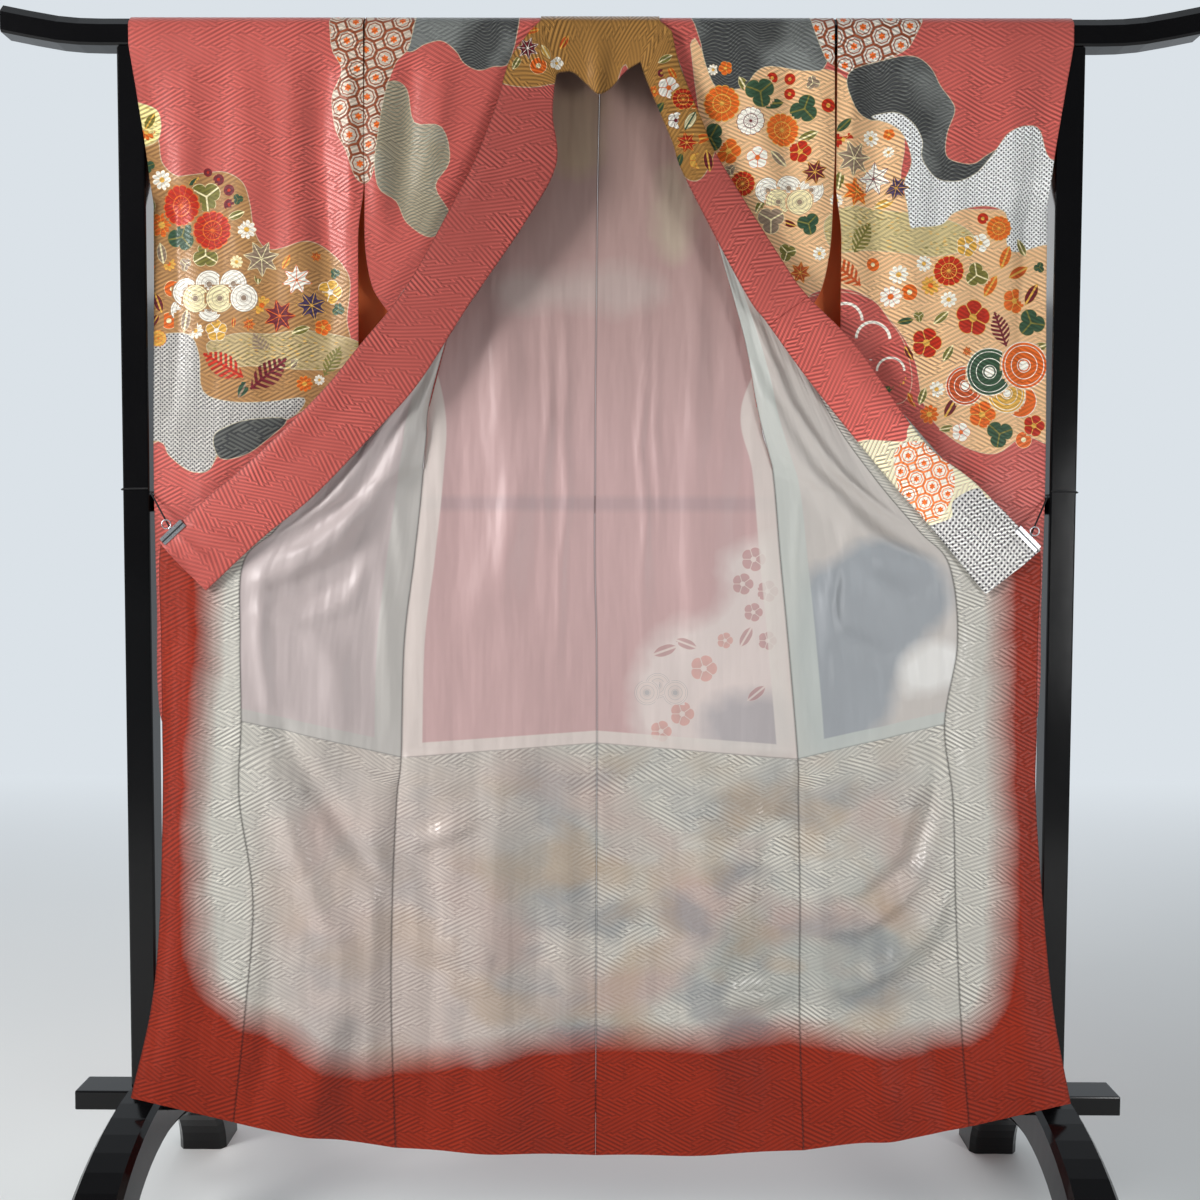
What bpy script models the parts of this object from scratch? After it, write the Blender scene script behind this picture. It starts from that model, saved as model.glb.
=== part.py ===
"""A furisode hung open on a lacquered kimono stand, in metres, +Z up, seen from -Y.

The origin is on the floor, midway between the feet. Left is -X. Every cloth panel is a
thin wall lofted between two seam lines. A seam line is a short table of stations, from
the hem (station 0) up to the shoulder fold over the rail.
"""

import math

import bmesh
import bpy
from mathutils import Vector

# Cloth
SEAM = 0.0003  # gap between pieces that meet
HALF_SEAM = SEAM / 2
CLOTH = 0.0013  # wall of the outer silk
LINING = 0.0010  # wall of the lining silk
COLLAR_WALL = 0.0018  # the collar is doubled
OVER_COLLAR_WALL = 0.0010

# Stand
RAIL_TOP = 1.7302
RAIL_HEIGHT = 0.040
RAIL_HALF_DEPTH = 0.0175
RAIL_FLAT = 0.0070  # half the flat on top, between the chamfers
RAIL_SHOULDER = 1.7182  # where the chamfers start
POST_X = 0.657
POST_WIDTH = 0.038
POST_DEPTH = 0.035
MID_RAIL_LOW, MID_RAIL_HIGH = 1.040, 1.065
MID_RAIL_FRONT, MID_RAIL_BACK = -0.004, 0.016
LOW_RAIL_LOW, LOW_RAIL_HIGH = 0.175, 0.203
LOW_RAIL_HALF_DEPTH = 0.025
LOW_RAIL_HALF_LENGTH = 0.755
FOOT_REACH, FOOT_CREST = 0.280, 0.208  # outer ellipse of the arched foot
FOOT_INNER_REACH, FOOT_INNER_CREST = 0.205, 0.135
FOOT_X = 0.650
FOOT_WIDTH = 0.059
FOOT_FLARE = 0.017
FOOT_CORNER_ACROSS, FOOT_CORNER_DEEP = 0.80, 0.12  # where the corners are cut
FOOT_STEPS = 28
NOTCH_HALF_LENGTH = 0.060
NOTCH_TOP = 0.228

# The shoulder fold over the rail: distance from the rail's middle, height, and the way
# out of the cloth's wall at its side and at its top
CLOTH_TOP = RAIL_TOP + SEAM
FOLD_TOP_DEPTH = 0.0072
FOLD_SIDE_DEPTH = 0.0179
FOLD_SIDE_Z = 1.7183
FOLD_SIDE_WAY = (0.76, 0.65)
FOLD_TOP_WAY = (0.35, 0.94)

# Seam lines: station, x on the left, x on the right, y, z
CENTRE_BACK = (
    (0, -0.001, -0.001, -0.0450, 0.124),
    (1, -0.001, -0.001, -0.0385, 0.318),
    (2, -0.001, -0.001, -0.0310, 0.488),
    (3, -0.001, -0.001, -0.0250, 0.633),
    (4, -0.001, -0.001, -0.0215, 0.712),
    (5, -0.002, -0.002, -0.0170, 0.855),
    (6, -0.005, -0.005, -0.0130, 0.976),
    (7, -0.005, -0.005, -0.0095, 1.100),
    (8, -0.005, -0.005, -0.0045, 1.195),
    (9, -0.004, -0.004, 0.0040, 1.350),
    (10, -0.003, -0.003, 0.0110, 1.505),
    (11, -0.001, -0.001, 0.0160, 1.620),
    (12, 0.000, 0.000, 0.0180, 1.686),
)
SIDE_SEAM = (
    (0, -0.285, 0.294, -0.0550, 0.138),
    (1, -0.292, 0.288, -0.0450, 0.334),
    (2, -0.291, 0.288, -0.0380, 0.491),
    (3, -0.285, 0.285, -0.0325, 0.633),
    (4, -0.279, 0.284, -0.0300, 0.692),
    (5, -0.275, 0.270, -0.0240, 0.853),
    (6, -0.261, 0.258, -0.0180, 0.976),
    (7, -0.249, 0.247, -0.0125, 1.099),
    (8, -0.248, 0.231, -0.0090, 1.190),
    (8.5, -0.274, 0.270, -0.0070, 1.285),
    (9, -0.322, 0.315, -0.0020, 1.362),
    (10, -0.329, 0.327, 0.0100, 1.505),
    (11, -0.329, 0.327, 0.0160, 1.620),
    (12, -0.328, 0.326, 0.0180, 1.686),
)
# Where the front turns back on itself, from the side seam up to the neck
FRONT_FOLD = (
    (8, -0.240, 0.223, -0.0115, 1.190),
    (8.5, -0.214, 0.205, -0.0155, 1.285),
    (9, -0.189, 0.182, -0.0180, 1.362),
    (10, -0.143, 0.139, -0.0180, 1.505),
    (11, -0.108, 0.107, -0.0180, 1.620),
    (12, -0.0833, 0.0833, -0.0180, 1.690),
)
# Where the turned-back front leaves the side seam and hangs from its own fold
FRONT_HINGE = (
    (7, -0.2495, 0.2475, -0.0155, 1.099),
    (7.5, -0.2440, 0.2345, -0.0162, 1.145),
    (8, -0.240, 0.223, -0.0170, 1.190),
    (9, -0.214, 0.204, -0.0200, 1.285),
    (10, -0.174, 0.168, -0.0220, 1.407),
    (11, -0.131, 0.128, -0.0220, 1.544),
    (12, -0.102, 0.102, -0.0220, 1.640),
    (13, -0.084, 0.084, -0.0220, 1.697),
)
OKUMI_SEAM = (
    (0, -0.508, 0.521, -0.0780, 0.185),
    (1, -0.494, 0.510, -0.0680, 0.330),
    (2, -0.484, 0.503, -0.0570, 0.493),
    (3, -0.504, 0.499, -0.0500, 0.636),
    (4, -0.501, 0.486, -0.0475, 0.745),
    (5, -0.502, 0.503, -0.0450, 0.862),
    (6, -0.497, 0.490, -0.0430, 0.968),
    (7, -0.451, 0.448, -0.0420, 1.015),
    (8, -0.397, 0.388, -0.0400, 1.085),
    (9, -0.340, 0.327, -0.0380, 1.169),
    (10, -0.280, 0.268, -0.0340, 1.280),
    (11, -0.226, 0.213, -0.0300, 1.405),
    (12, -0.161, 0.150, -0.0265, 1.557),
    (13, -0.104, 0.100, -0.0235, 1.692),
)
FRONT_EDGE = (
    (0, -0.650, 0.660, -0.0830, 0.221),
    (1, -0.624, 0.638, -0.0720, 0.345),
    (2, -0.614, 0.626, -0.0620, 0.470),
    (3, -0.611, 0.614, -0.0530, 0.637),
    (4, -0.612, 0.615, -0.0485, 0.740),
    (5, -0.613, 0.615, -0.0460, 0.862),
    (6, -0.613, 0.616, -0.0450, 0.988),
    (6.5, -0.596, 0.596, -0.0440, 1.006),
    (7, -0.570, 0.569, -0.0430, 1.033),
    (8, -0.502, 0.501, -0.0410, 1.094),
    (9, -0.407, 0.430, -0.0390, 1.172),
    (10, -0.320, 0.334, -0.0350, 1.285),
    (11, -0.243, 0.243, -0.0310, 1.400),
)
PANEL_STATIONS = (0, 0.5, 1, 1.5, 2, 3, 4, 5, 5.5, 6, 6.5, 7, 7.5, 8, 9, 10, 11, 12, 13)
LINING_EDGE = 4  # the station where the body lining meets the hem lining
FOLD_FADE = 0.6  # stations over which a large fold starts and ends

# Large folds. Each ridge runs along a row of (station, place across from 0 to 1).
# Columns: panel, side, half width across, height, ridge
FOLDS = (
    ("front", "left", 0.16, 0.016, ((5.6, 0.95), (6.3, 0.55), (7.2, 0.22), (8.6, 0.04))),
    ("front", "left", 0.13, 0.010, ((6.6, 0.98), (7.2, 0.62), (8.4, 0.36), (9.5, 0.30))),
    ("front", "left", 0.30, 0.009, ((0.0, 0.75), (1.0, 0.45), (2.6, 0.20), (3.6, 0.02))),
    ("front", "right", 0.16, 0.016, ((5.8, 0.95), (6.4, 0.60), (7.4, 0.25), (8.8, 0.05))),
    ("front", "right", 0.12, 0.011, ((6.9, 0.95), (7.6, 0.58), (8.6, 0.34), (9.6, 0.28))),
    ("front", "right", 0.28, 0.008, ((0.0, 0.70), (1.2, 0.50), (2.4, 0.25), (3.4, 0.05))),
    ("back", "left", 0.14, 0.009, ((5.0, 0.66), (6.0, 0.50), (7.0, 0.36), (8.4, 0.28))),
    ("back", "left", 0.22, 0.010, ((0.0, 0.55), (1.5, 0.60), (3.0, 0.82), (4.0, 0.95))),
    ("back", "right", 0.12, 0.006, ((4.6, 0.55), (6.0, 0.62), (7.2, 0.72), (8.6, 0.80))),
    ("back", "right", 0.24, 0.009, ((0.0, 0.48), (1.6, 0.58), (3.0, 0.78), (4.0, 0.92))),
)

# Sleeve rows: z, y of the front layer, y of the back layer, x of the outer edge, x of the
# back layer's inner edge
SLEEVE_ROWS = (
    (CLOTH_TOP, -HALF_SEAM, HALF_SEAM, 0.664, 0.3315),
    (CLOTH_TOP, -FOLD_TOP_DEPTH, FOLD_TOP_DEPTH, 0.664, 0.3315),
    (FOLD_SIDE_Z, -FOLD_SIDE_DEPTH, FOLD_SIDE_DEPTH, 0.662, 0.3315),
    (1.690, -0.0180, 0.0180, 0.658, 0.3315),
    (1.620, -0.0185, 0.0180, 0.647, 0.3315),
    (1.510, -0.0190, 0.0179, 0.632, 0.3315),
    (1.460, -0.0195, 0.0150, 0.6315, 0.3240),
    (1.340, -0.0205, 0.0080, 0.6310, 0.2960),
    (1.180, -0.0212, -0.0015, 0.6320, 0.2880),
    (1.060, -0.0212, -0.0075, 0.6315, 0.2920),
    (0.900, -0.0212, -0.0100, 0.6290, 0.3060),
    (0.772, -0.0220, -0.0115, 0.6280, 0.3240),
)
SLEEVE_INNER_X = 0.3315
SLEEVE_BOTTOM = 0.652
SLEEVE_ROUND = 0.120  # radius of the outer bottom corner
SLEEVE_BOTTOM_FRONT_Y, SLEEVE_BOTTOM_BACK_Y = -0.0230, -0.0150
CUFF_STOP = 1.510  # below this the sleeve's outer edge is sewn shut
CUFF_RUN = 0.050
SLEEVE_ACROSS = (0, 0.2, 0.42, 0.64, 0.82, 0.93, 1)
EDGE_CLOSING = 0.64  # place across where the layers start to close
BOTTOM_CLOSING = 0.120

# Collar: distance along is in the row's order, from the lower end to the neck.
# Columns: seam x, y, z, then free edge x, y, z
COLLAR_LEFT = (
    (-0.613, -0.0466, 0.996, -0.547, -0.0515, 0.929),
    (-0.552, -0.0455, 1.053, -0.470, -0.0500, 1.001),
    (-0.474, -0.0435, 1.119, -0.395, -0.0475, 1.063),
    (-0.387, -0.0410, 1.204, -0.305, -0.0445, 1.157),
    (-0.336, -0.0385, 1.266, -0.249, -0.0420, 1.221),
    (-0.268, -0.0370, 1.352, -0.184, -0.0400, 1.322),
    (-0.197, -0.0340, 1.479, -0.100, -0.0375, 1.445),
    (-0.168, -0.0325, 1.538, -0.060, -0.0360, 1.520),
    (-0.142, -0.0310, 1.607, -0.065, -0.0340, 1.586),
    (-0.124, -0.0285, 1.666, -0.063, -0.0325, 1.624),
    (-0.097, -0.0255, 1.705, -0.060, -0.0305, 1.644),
)
COLLAR_RIGHT = (
    (0.616, -0.0466, 0.990, 0.539, -0.0515, 0.928),
    (0.524, -0.0450, 1.082, 0.460, -0.0495, 1.023),
    (0.450, -0.0430, 1.141, 0.396, -0.0470, 1.095),
    (0.360, -0.0405, 1.267, 0.297, -0.0440, 1.216),
    (0.289, -0.0380, 1.340, 0.235, -0.0415, 1.300),
    (0.255, -0.0365, 1.387, 0.201, -0.0400, 1.347),
    (0.164, -0.0325, 1.531, 0.118, -0.0365, 1.503),
    (0.143, -0.0315, 1.578, 0.100, -0.0350, 1.552),
    (0.111, -0.0285, 1.656, 0.071, -0.0325, 1.620),
    (0.099, -0.0255, 1.705, 0.060, -0.0305, 1.648),
)
# Round the neck the collar comes over the rail: place across, free edge x, y, z
COLLAR_NECK = (
    (-1.0, -0.0560, -0.0290, 1.648),
    (-0.6, -0.0370, -0.0275, 1.648),
    (-0.3, -0.0170, -0.0280, 1.631),
    (0.0, -0.0030, -0.0400, 1.615),
    (0.3, 0.0140, -0.0280, 1.626),
    (0.6, 0.0360, -0.0275, 1.650),
    (1.0, 0.0560, -0.0290, 1.662),
)
NECK_HALF = 0.0827
# Columns over the rail: y, z, push y, push z
COLLAR_OVER_RAIL = (
    (0.0180, 1.6866, 1.0, 0.0),
    (FOLD_SIDE_DEPTH, FOLD_SIDE_Z, FOLD_SIDE_WAY[0], FOLD_SIDE_WAY[1]),
    (FOLD_TOP_DEPTH, CLOTH_TOP, FOLD_TOP_WAY[0], FOLD_TOP_WAY[1]),
    (-FOLD_TOP_DEPTH, CLOTH_TOP, -FOLD_TOP_WAY[0], FOLD_TOP_WAY[1]),
)
COLLAR_TURN = (-0.0205, 1.7195, -0.80, 0.60)
COLLAR_ACROSS = (0, 0.25, 0.5, 0.75, 1)
OVER_COLLAR_LEFT = 5  # rows of the collar below the over-collar's ends
OVER_COLLAR_RIGHT = 5

# Clips and ties
CLIP_LENGTH = 0.040
CLIP_LEG = 0.009
CLIP_WALL = 0.0015
CLIP_FRONT, CLIP_BACK = -0.0492, -0.0411  # the jaws' inner faces
CLIP_START = 0.004  # from the collar's end to the clip
CLIP_SPINE = 0.0012  # from the cloth's edge to the spine of the clip
TIE_RADIUS = 0.0012
TIE_Z = 1.0675
TIE_PITCH = 0.0035
TIE_TURNS = 1.6
TIE_CORNER = 0.003  # how far the cord cuts the post's corners

LACQUER = (0.008, 0.008, 0.009)
SALMON = (0.62, 0.17, 0.15)
LINING_WHITE = (0.80, 0.72, 0.70)
DAMASK = (0.70, 0.72, 0.66)
STEEL = (0.60, 0.60, 0.62)
BLACK_CORD = (0.02, 0.02, 0.02)


def clear_scene():
    for item in list(bpy.data.objects):
        bpy.data.objects.remove(item, do_unlink=True)


def material(name, colour, roughness, metallic=0.0):
    found = bpy.data.materials.get(name)
    if found:
        return found
    made = bpy.data.materials.new(name)
    made.use_nodes = True
    shader = made.node_tree.nodes["Principled BSDF"]
    shader.inputs["Base Color"].default_value = (*colour, 1)
    shader.inputs["Roughness"].default_value = roughness
    shader.inputs["Metallic"].default_value = metallic
    return made


def add_object(name, mesh, collection, look):
    item = bpy.data.objects.new(name, mesh)
    collection.objects.link(item)
    mesh.materials.append(material(name, *look))
    return item


def read_line(table, station, side):
    """A point on a seam line, on a smooth curve through its table."""
    column = 1 if side == "left" else 2
    stations = [row[0] for row in table]
    points = [Vector((row[column], row[3], row[4])) for row in table]
    if station <= stations[0]:
        return points[0].copy()
    if station >= stations[-1]:
        return points[-1].copy()
    k = max(i for i in range(len(stations) - 1) if stations[i] <= station)
    span = stations[k + 1] - stations[k]
    f = (station - stations[k]) / span

    def slope(i):
        low, high = max(i - 1, 0), min(i + 1, len(points) - 1)
        return (points[high] - points[low]) / (stations[high] - stations[low]) * span

    f2, f3 = f * f, f * f * f
    return (
        points[k] * (2 * f3 - 3 * f2 + 1)
        + slope(k) * (f3 - 2 * f2 + f)
        + points[k + 1] * (3 * f2 - 2 * f3)
        + slope(k + 1) * (f3 - f2)
    )


def front_hinge(station, side):
    """The turned-back front's hanging edge: the side seam, then the fold."""
    table = SIDE_SEAM if station < FRONT_HINGE[0][0] else FRONT_HINGE
    return read_line(table, station, side)


def fold_height(panel, side, station, across):
    """How far the cloth stands towards the viewer on the panel's large folds."""
    height = 0.0
    for name, where, width, rise, ridge in FOLDS:
        if name != panel or where != side:
            continue
        for (s0, t0), (s1, t1) in zip(ridge, ridge[1:]):
            if not s0 <= station <= s1:
                continue
            middle = t0 + (t1 - t0) * (station - s0) / (s1 - s0)
            gap = (across - middle) / width
            ends = min(station - ridge[0][0], ridge[-1][0] - station)
            fade = min(1.0, max(0.0, ends) / FOLD_FADE) if ridge[0][0] > 0 else 1.0
            height += rise * math.exp(-gap * gap) * fade
            break
    return height * math.sin(math.pi * min(1.0, max(0.0, across))) ** 0.5


def panel_grid(panel, side, inner, outer, stations, across):
    """Rows of points from the inner seam line to the outer one."""
    sign = -1 if side == "left" else 1
    rows = []
    for station in stations:
        a, b = (
            line(station, side) if callable(line) else read_line(line, station, side)
            for line in (inner, outer)
        )
        a.x += sign * HALF_SEAM
        b.x -= sign * HALF_SEAM
        row = []
        for t in across:
            point = a.lerp(b, t)
            point.y -= fold_height(panel, side, station, t)
            row.append(point)
        rows.append(row)
    return rows


def wall_mesh(name, grid, push, near, far, skip=()):
    """A closed wall on a grid of points, between two distances along each push."""
    columns = len(grid[0])
    size = len(grid) * columns
    layers = []
    for distance in (near, far):
        for row, way in zip(grid, push):
            for j, point in enumerate(row):
                direction = way[j] if isinstance(way, list) else way
                layers.append(point + direction * distance)
    faces = []
    for i in range(len(grid) - 1):
        for j in range(columns - 1):
            if (i, j) in skip:
                continue
            a, b = i * columns + j, i * columns + j + 1
            d, c = a + columns, b + columns
            faces += [(a, b, c), (a, c, d)]
    directed = {(f[k], f[(k + 1) % 3]) for f in faces for k in range(3)}
    rim = [(a, b) for a, b in directed if (b, a) not in directed]
    closed = list(faces)
    closed += [(c + size, b + size, a + size) for a, b, c in faces]
    for a, b in sorted(rim):
        closed += [(b, a, a + size), (b, a + size, b + size)]
    mesh = bpy.data.meshes.new(name)
    mesh.from_pydata(layers, [], closed)
    shape = bmesh.new()
    shape.from_mesh(mesh)
    loose = [v for v in shape.verts if not v.link_faces]
    bmesh.ops.delete(shape, geom=loose, context="VERTS")
    bmesh.ops.recalc_face_normals(shape, faces=shape.faces)
    shape.to_mesh(mesh)
    shape.free()
    return mesh


TOWARDS = Vector((0, -1, 0))
AWAY = Vector((0, 1, 0))
UP = Vector((0, 0, 1))


def fold_way(way, facing):
    return Vector((0, facing * way[0], way[1]))


def fold_over_rail(row, facing):
    """Three more rows that take a row below the rail up and over to its middle.

    facing is 1 behind the rail and -1 in front of it. The last row lies on top.
    """
    steps = (
        (FOLD_SIDE_DEPTH, FOLD_SIDE_Z, fold_way(FOLD_SIDE_WAY, facing)),
        (FOLD_TOP_DEPTH, CLOTH_TOP, fold_way(FOLD_TOP_WAY, facing)),
        (HALF_SEAM, CLOTH_TOP, UP),
    )
    rows = [[Vector((p.x, facing * y, z)) for p in row] for y, z, _ in steps]
    return rows, [way for _, _, way in steps]


BACK_ACROSS = (0, 0.12, 0.2560, 0.4, 0.55, 0.7, 0.85, 1)
NECK_COLUMNS = 2  # columns of a back panel inside the neck opening


def build_back(side, collection):
    stations = (0, 0.5, 1, 1.5, 2, 3, 4, 5, 5.5, 6, 6.5, 7, 7.5, 8, 8.5, 9, 10, 11, 12)
    grid = panel_grid("back", side, CENTRE_BACK, SIDE_SEAM, stations, BACK_ACROSS)
    push = [AWAY] * len(grid)
    top_rows, top_push = fold_over_rail(grid[-1], 1)
    skip = {(len(grid) - 1 + i, j) for i in range(3) for j in range(NECK_COLUMNS)}
    mesh = wall_mesh(
        f"back_{side}", grid + top_rows, push + top_push, HALF_SEAM, HALF_SEAM + CLOTH, skip
    )
    add_object(f"back_{side}", mesh, collection, (SALMON, 0.45))
    build_linings("back", side, grid, stations, collection)


def build_linings(panel, side, grid, stations, collection):
    """Both linings of a panel, from its own points, on the side that was inside."""
    edge = stations.index(LINING_EDGE)
    parts = (
        (f"hem_lining_{panel}_{side}", grid[: edge + 1], -SEAM, (DAMASK, 0.35)),
        (f"lining_{panel}_{side}", grid[edge:], SEAM, (LINING_WHITE, 0.5)),
    )
    for name, rows, lift, look in parts:
        rows = [list(row) for row in rows]
        shared = len(rows) - 1 if lift < 0 else 0
        rows[shared] = [p + UP * lift / 2 for p in rows[shared]]
        mesh = wall_mesh(name, rows, [TOWARDS] * len(rows), HALF_SEAM, HALF_SEAM + LINING)
        add_object(name, mesh, collection, look)


def build_front(side, collection):
    """The turned-back front, lining towards the viewer."""
    across = (0, 0.1, 0.25, 0.42, 0.6, 0.8, 1)
    grid = panel_grid("front", side, front_hinge, OKUMI_SEAM, PANEL_STATIONS, across)
    mesh = wall_mesh(f"front_{side}", grid, [AWAY] * len(grid), HALF_SEAM, HALF_SEAM + CLOTH)
    add_object(f"front_{side}", mesh, collection, (SALMON, 0.45))
    build_linings("front", side, grid, PANEL_STATIONS, collection)


def build_okumi(side, collection):
    stations = [s for s in PANEL_STATIONS if s <= FRONT_EDGE[-1][0]]
    across = (0, 0.33, 0.67, 1)
    grid = panel_grid("okumi", side, OKUMI_SEAM, FRONT_EDGE, stations, across)
    push = [AWAY] * len(grid)
    mesh = wall_mesh(f"okumi_{side}", grid, push, HALF_SEAM, HALF_SEAM + CLOTH)
    add_object(f"okumi_{side}", mesh, collection, (SALMON, 0.45))
    name = f"hem_lining_okumi_{side}"
    mesh = wall_mesh(name, grid, [TOWARDS] * len(grid), HALF_SEAM, HALF_SEAM + LINING)
    add_object(name, mesh, collection, (DAMASK, 0.35))


def build_front_shoulder(side, collection):
    """The part of the front that still faces out, from the rail to the fold."""
    sign = -1 if side == "left" else 1
    across = (0, 0.25, 0.5, 0.75, 1)
    lap = Vector((0, -(LINING + 2 * SEAM), 0))
    grid = []
    for station in (8, 8.5, 9, 10, 11, 12):
        seam = read_line(SIDE_SEAM, station, side) + lap
        if station > 9:
            seam.y = FRONT_FOLD[-1][3]
        fold = read_line(FRONT_FOLD, station, side)
        fold.x = sign * max(abs(fold.x), NECK_HALF + SEAM)
        grid.append([fold.lerp(seam, t) for t in across])
    for point in grid[-1]:
        point.z = RAIL_TOP - RAIL_HEIGHT
    top_rows, top_push = fold_over_rail(grid[-1], -1)
    mesh = wall_mesh(
        f"front_shoulder_{side}", grid + top_rows, [TOWARDS] * len(grid) + top_push, 0, CLOTH
    )
    add_object(f"front_shoulder_{side}", mesh, collection, (SALMON, 0.45))


def ease(value):
    value = min(1.0, max(0.0, value))
    return value * value * (3 - 2 * value)


def sleeve_rows():
    """The table's rows, then rows round the bottom corner."""
    rows = list(SLEEVE_ROWS)
    z, front, back, outer, inner = rows[-1]
    for angle in (30, 55, 75, 90):
        drop = math.sin(math.radians(angle))
        pull = 1 - math.cos(math.radians(angle))
        rows.append(
            (
                z - SLEEVE_ROUND * drop,
                front + (SLEEVE_BOTTOM_FRONT_Y - front) * drop,
                back + (SLEEVE_BOTTOM_BACK_Y - back) * drop,
                outer - SLEEVE_ROUND * pull,
                inner + (SLEEVE_INNER_X - inner) * drop,
            )
        )
    return rows


def build_sleeve(side, collection):
    """One length of cloth folded over the rail, parted at the fold."""
    sign = -1 if side == "left" else 1
    for layer, facing in (("front", -1), ("back", 1)):
        grid, push = [], []
        for i, (z, front, back, outer, back_inner) in enumerate(sleeve_rows()):
            own = front if facing < 0 else back
            inner = SLEEVE_INNER_X if facing < 0 else back_inner
            middle = (front + back) / 2 + facing * HALF_SEAM
            sewn = ease((CUFF_STOP - z) / CUFF_RUN)
            bottom = ease(1 - (z - SLEEVE_BOTTOM) / BOTTOM_CLOSING)
            row = []
            for t in SLEEVE_ACROSS:
                side_closing = ease((t - EDGE_CLOSING) / (1 - EDGE_CLOSING)) * sewn
                shut = max(side_closing, bottom)
                x = inner + (outer - inner) * t
                row.append(Vector((sign * x, own + (middle - own) * shut, z)))
            grid.append(row)
            over = (UP, fold_way(FOLD_TOP_WAY, facing), fold_way(FOLD_SIDE_WAY, facing))
            push.append(over[i] if i < len(over) else Vector((0, facing, 0)))
        name = f"sleeve_{side}_{layer}"
        mesh = wall_mesh(name, grid, push, 0, CLOTH)
        add_object(name, mesh, collection, (SALMON, 0.45))


def collar_grid():
    """Rows along the collar from its left end, round the neck, to its right end."""
    over = len(COLLAR_OVER_RAIL)
    grid, push, skip = [], [], set()

    def band_row(row):
        seam, free = Vector(row[:3]), Vector(row[3:])
        skip.update((len(grid) + k, j) for k in (-1, 0) for j in range(over))
        grid.append([seam] * over + [seam.lerp(free, t) for t in COLLAR_ACROSS])
        push.append([TOWARDS] * (over + len(COLLAR_ACROSS)))

    for row in COLLAR_LEFT:
        band_row(row)
    first_neck = len(grid)
    for place, x, y, z in COLLAR_NECK:
        top_x = NECK_HALF * place
        points = [Vector((top_x, row[0], row[1])) for row in COLLAR_OVER_RAIL]
        ways = [Vector((0, row[2], row[3])) for row in COLLAR_OVER_RAIL]
        turn = Vector((top_x, COLLAR_TURN[0], COLLAR_TURN[1]))
        free = Vector((x, y, z))
        for t in COLLAR_ACROSS:
            points.append(turn.lerp(free, t))
            ways.append(Vector((0, COLLAR_TURN[2], COLLAR_TURN[3])).lerp(TOWARDS, min(1, t * 3)))
        grid.append(points)
        push.append(ways)
    last_neck = len(grid) - 1
    for row in reversed(COLLAR_RIGHT):
        band_row(row)
    skip = {(i, j) for i, j in skip if not first_neck <= i < last_neck}
    return grid, push, skip


def build_collar(collection):
    grid, push, skip = collar_grid()
    mesh = wall_mesh("collar", grid, push, 0, COLLAR_WALL, skip)
    add_object("collar", mesh, collection, (SALMON, 0.45))
    first = len(COLLAR_LEFT) - 1 - OVER_COLLAR_LEFT
    last = len(grid) - len(COLLAR_RIGHT) + OVER_COLLAR_RIGHT
    part = slice(first, last + 1)
    shifted = {(i - first, j) for i, j in skip}
    near = COLLAR_WALL + SEAM
    mesh = wall_mesh("over_collar", grid[part], push[part], near, near + OVER_COLLAR_WALL, shifted)
    add_object("over_collar", mesh, collection, (SALMON, 0.45))


def box_object(name, low, high, bevel, collection, look):
    """A box between two corners, with rounded edges."""
    mesh = bpy.data.meshes.new(name)
    shape = bmesh.new()
    bmesh.ops.create_cube(shape, size=1)
    low, high = Vector(low), Vector(high)
    for vertex in shape.verts:
        for axis in range(3):
            vertex.co[axis] = (low[axis] + high[axis]) / 2 + vertex.co[axis] * (
                high[axis] - low[axis]
            )
    shape.to_mesh(mesh)
    shape.free()
    item = add_object(name, mesh, collection, look)
    if bevel:
        rounding = item.modifiers.new("rounded edges", "BEVEL")
        rounding.width = bevel
        rounding.segments = 2
    return item


def loft_mesh(name, rings):
    """A closed mesh through rings with the same number of points."""
    count = len(rings[0])
    points = [p for ring in rings for p in ring]
    faces = []
    for i in range(len(rings) - 1):
        for j in range(count):
            k = (j + 1) % count
            a, b = i * count + j, i * count + k
            faces.append((a, b, b + count, a + count))
    faces.append(tuple(range(count)))
    faces.append(tuple(range(len(points) - count, len(points))))
    mesh = bpy.data.meshes.new(name)
    mesh.from_pydata(points, [], faces)
    shape = bmesh.new()
    shape.from_mesh(mesh)
    bmesh.ops.recalc_face_normals(shape, faces=shape.faces)
    shape.to_mesh(mesh)
    shape.free()
    return mesh


# The rail's upturned ends: distance from the middle, and rise
RAIL_RISE = (
    (0.0, 0.0),
    (0.700, 0.0),
    (0.730, 0.0008),
    (0.760, 0.0035),
    (0.800, 0.0105),
    (0.838, 0.018),
)
RAIL_EDGE = 0.003  # small chamfer under the rail


def build_top_rail(collection):
    """The rail over the posts, chamfered above, with upturned ends."""
    low = RAIL_TOP - RAIL_HEIGHT
    half = [
        (RAIL_FLAT, RAIL_TOP),
        (RAIL_HALF_DEPTH, RAIL_SHOULDER),
        (RAIL_HALF_DEPTH, low + RAIL_EDGE),
        (RAIL_HALF_DEPTH - RAIL_EDGE, low),
    ]
    section = half + [(-y, z) for y, z in reversed(half)]
    places = [(-x, rise) for x, rise in reversed(RAIL_RISE)] + list(RAIL_RISE[1:])
    rings = [[Vector((x, y, z + rise)) for y, z in section] for x, rise in places]
    add_object("top_rail", loft_mesh("top_rail", rings), collection, (LACQUER, 0.12))


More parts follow.
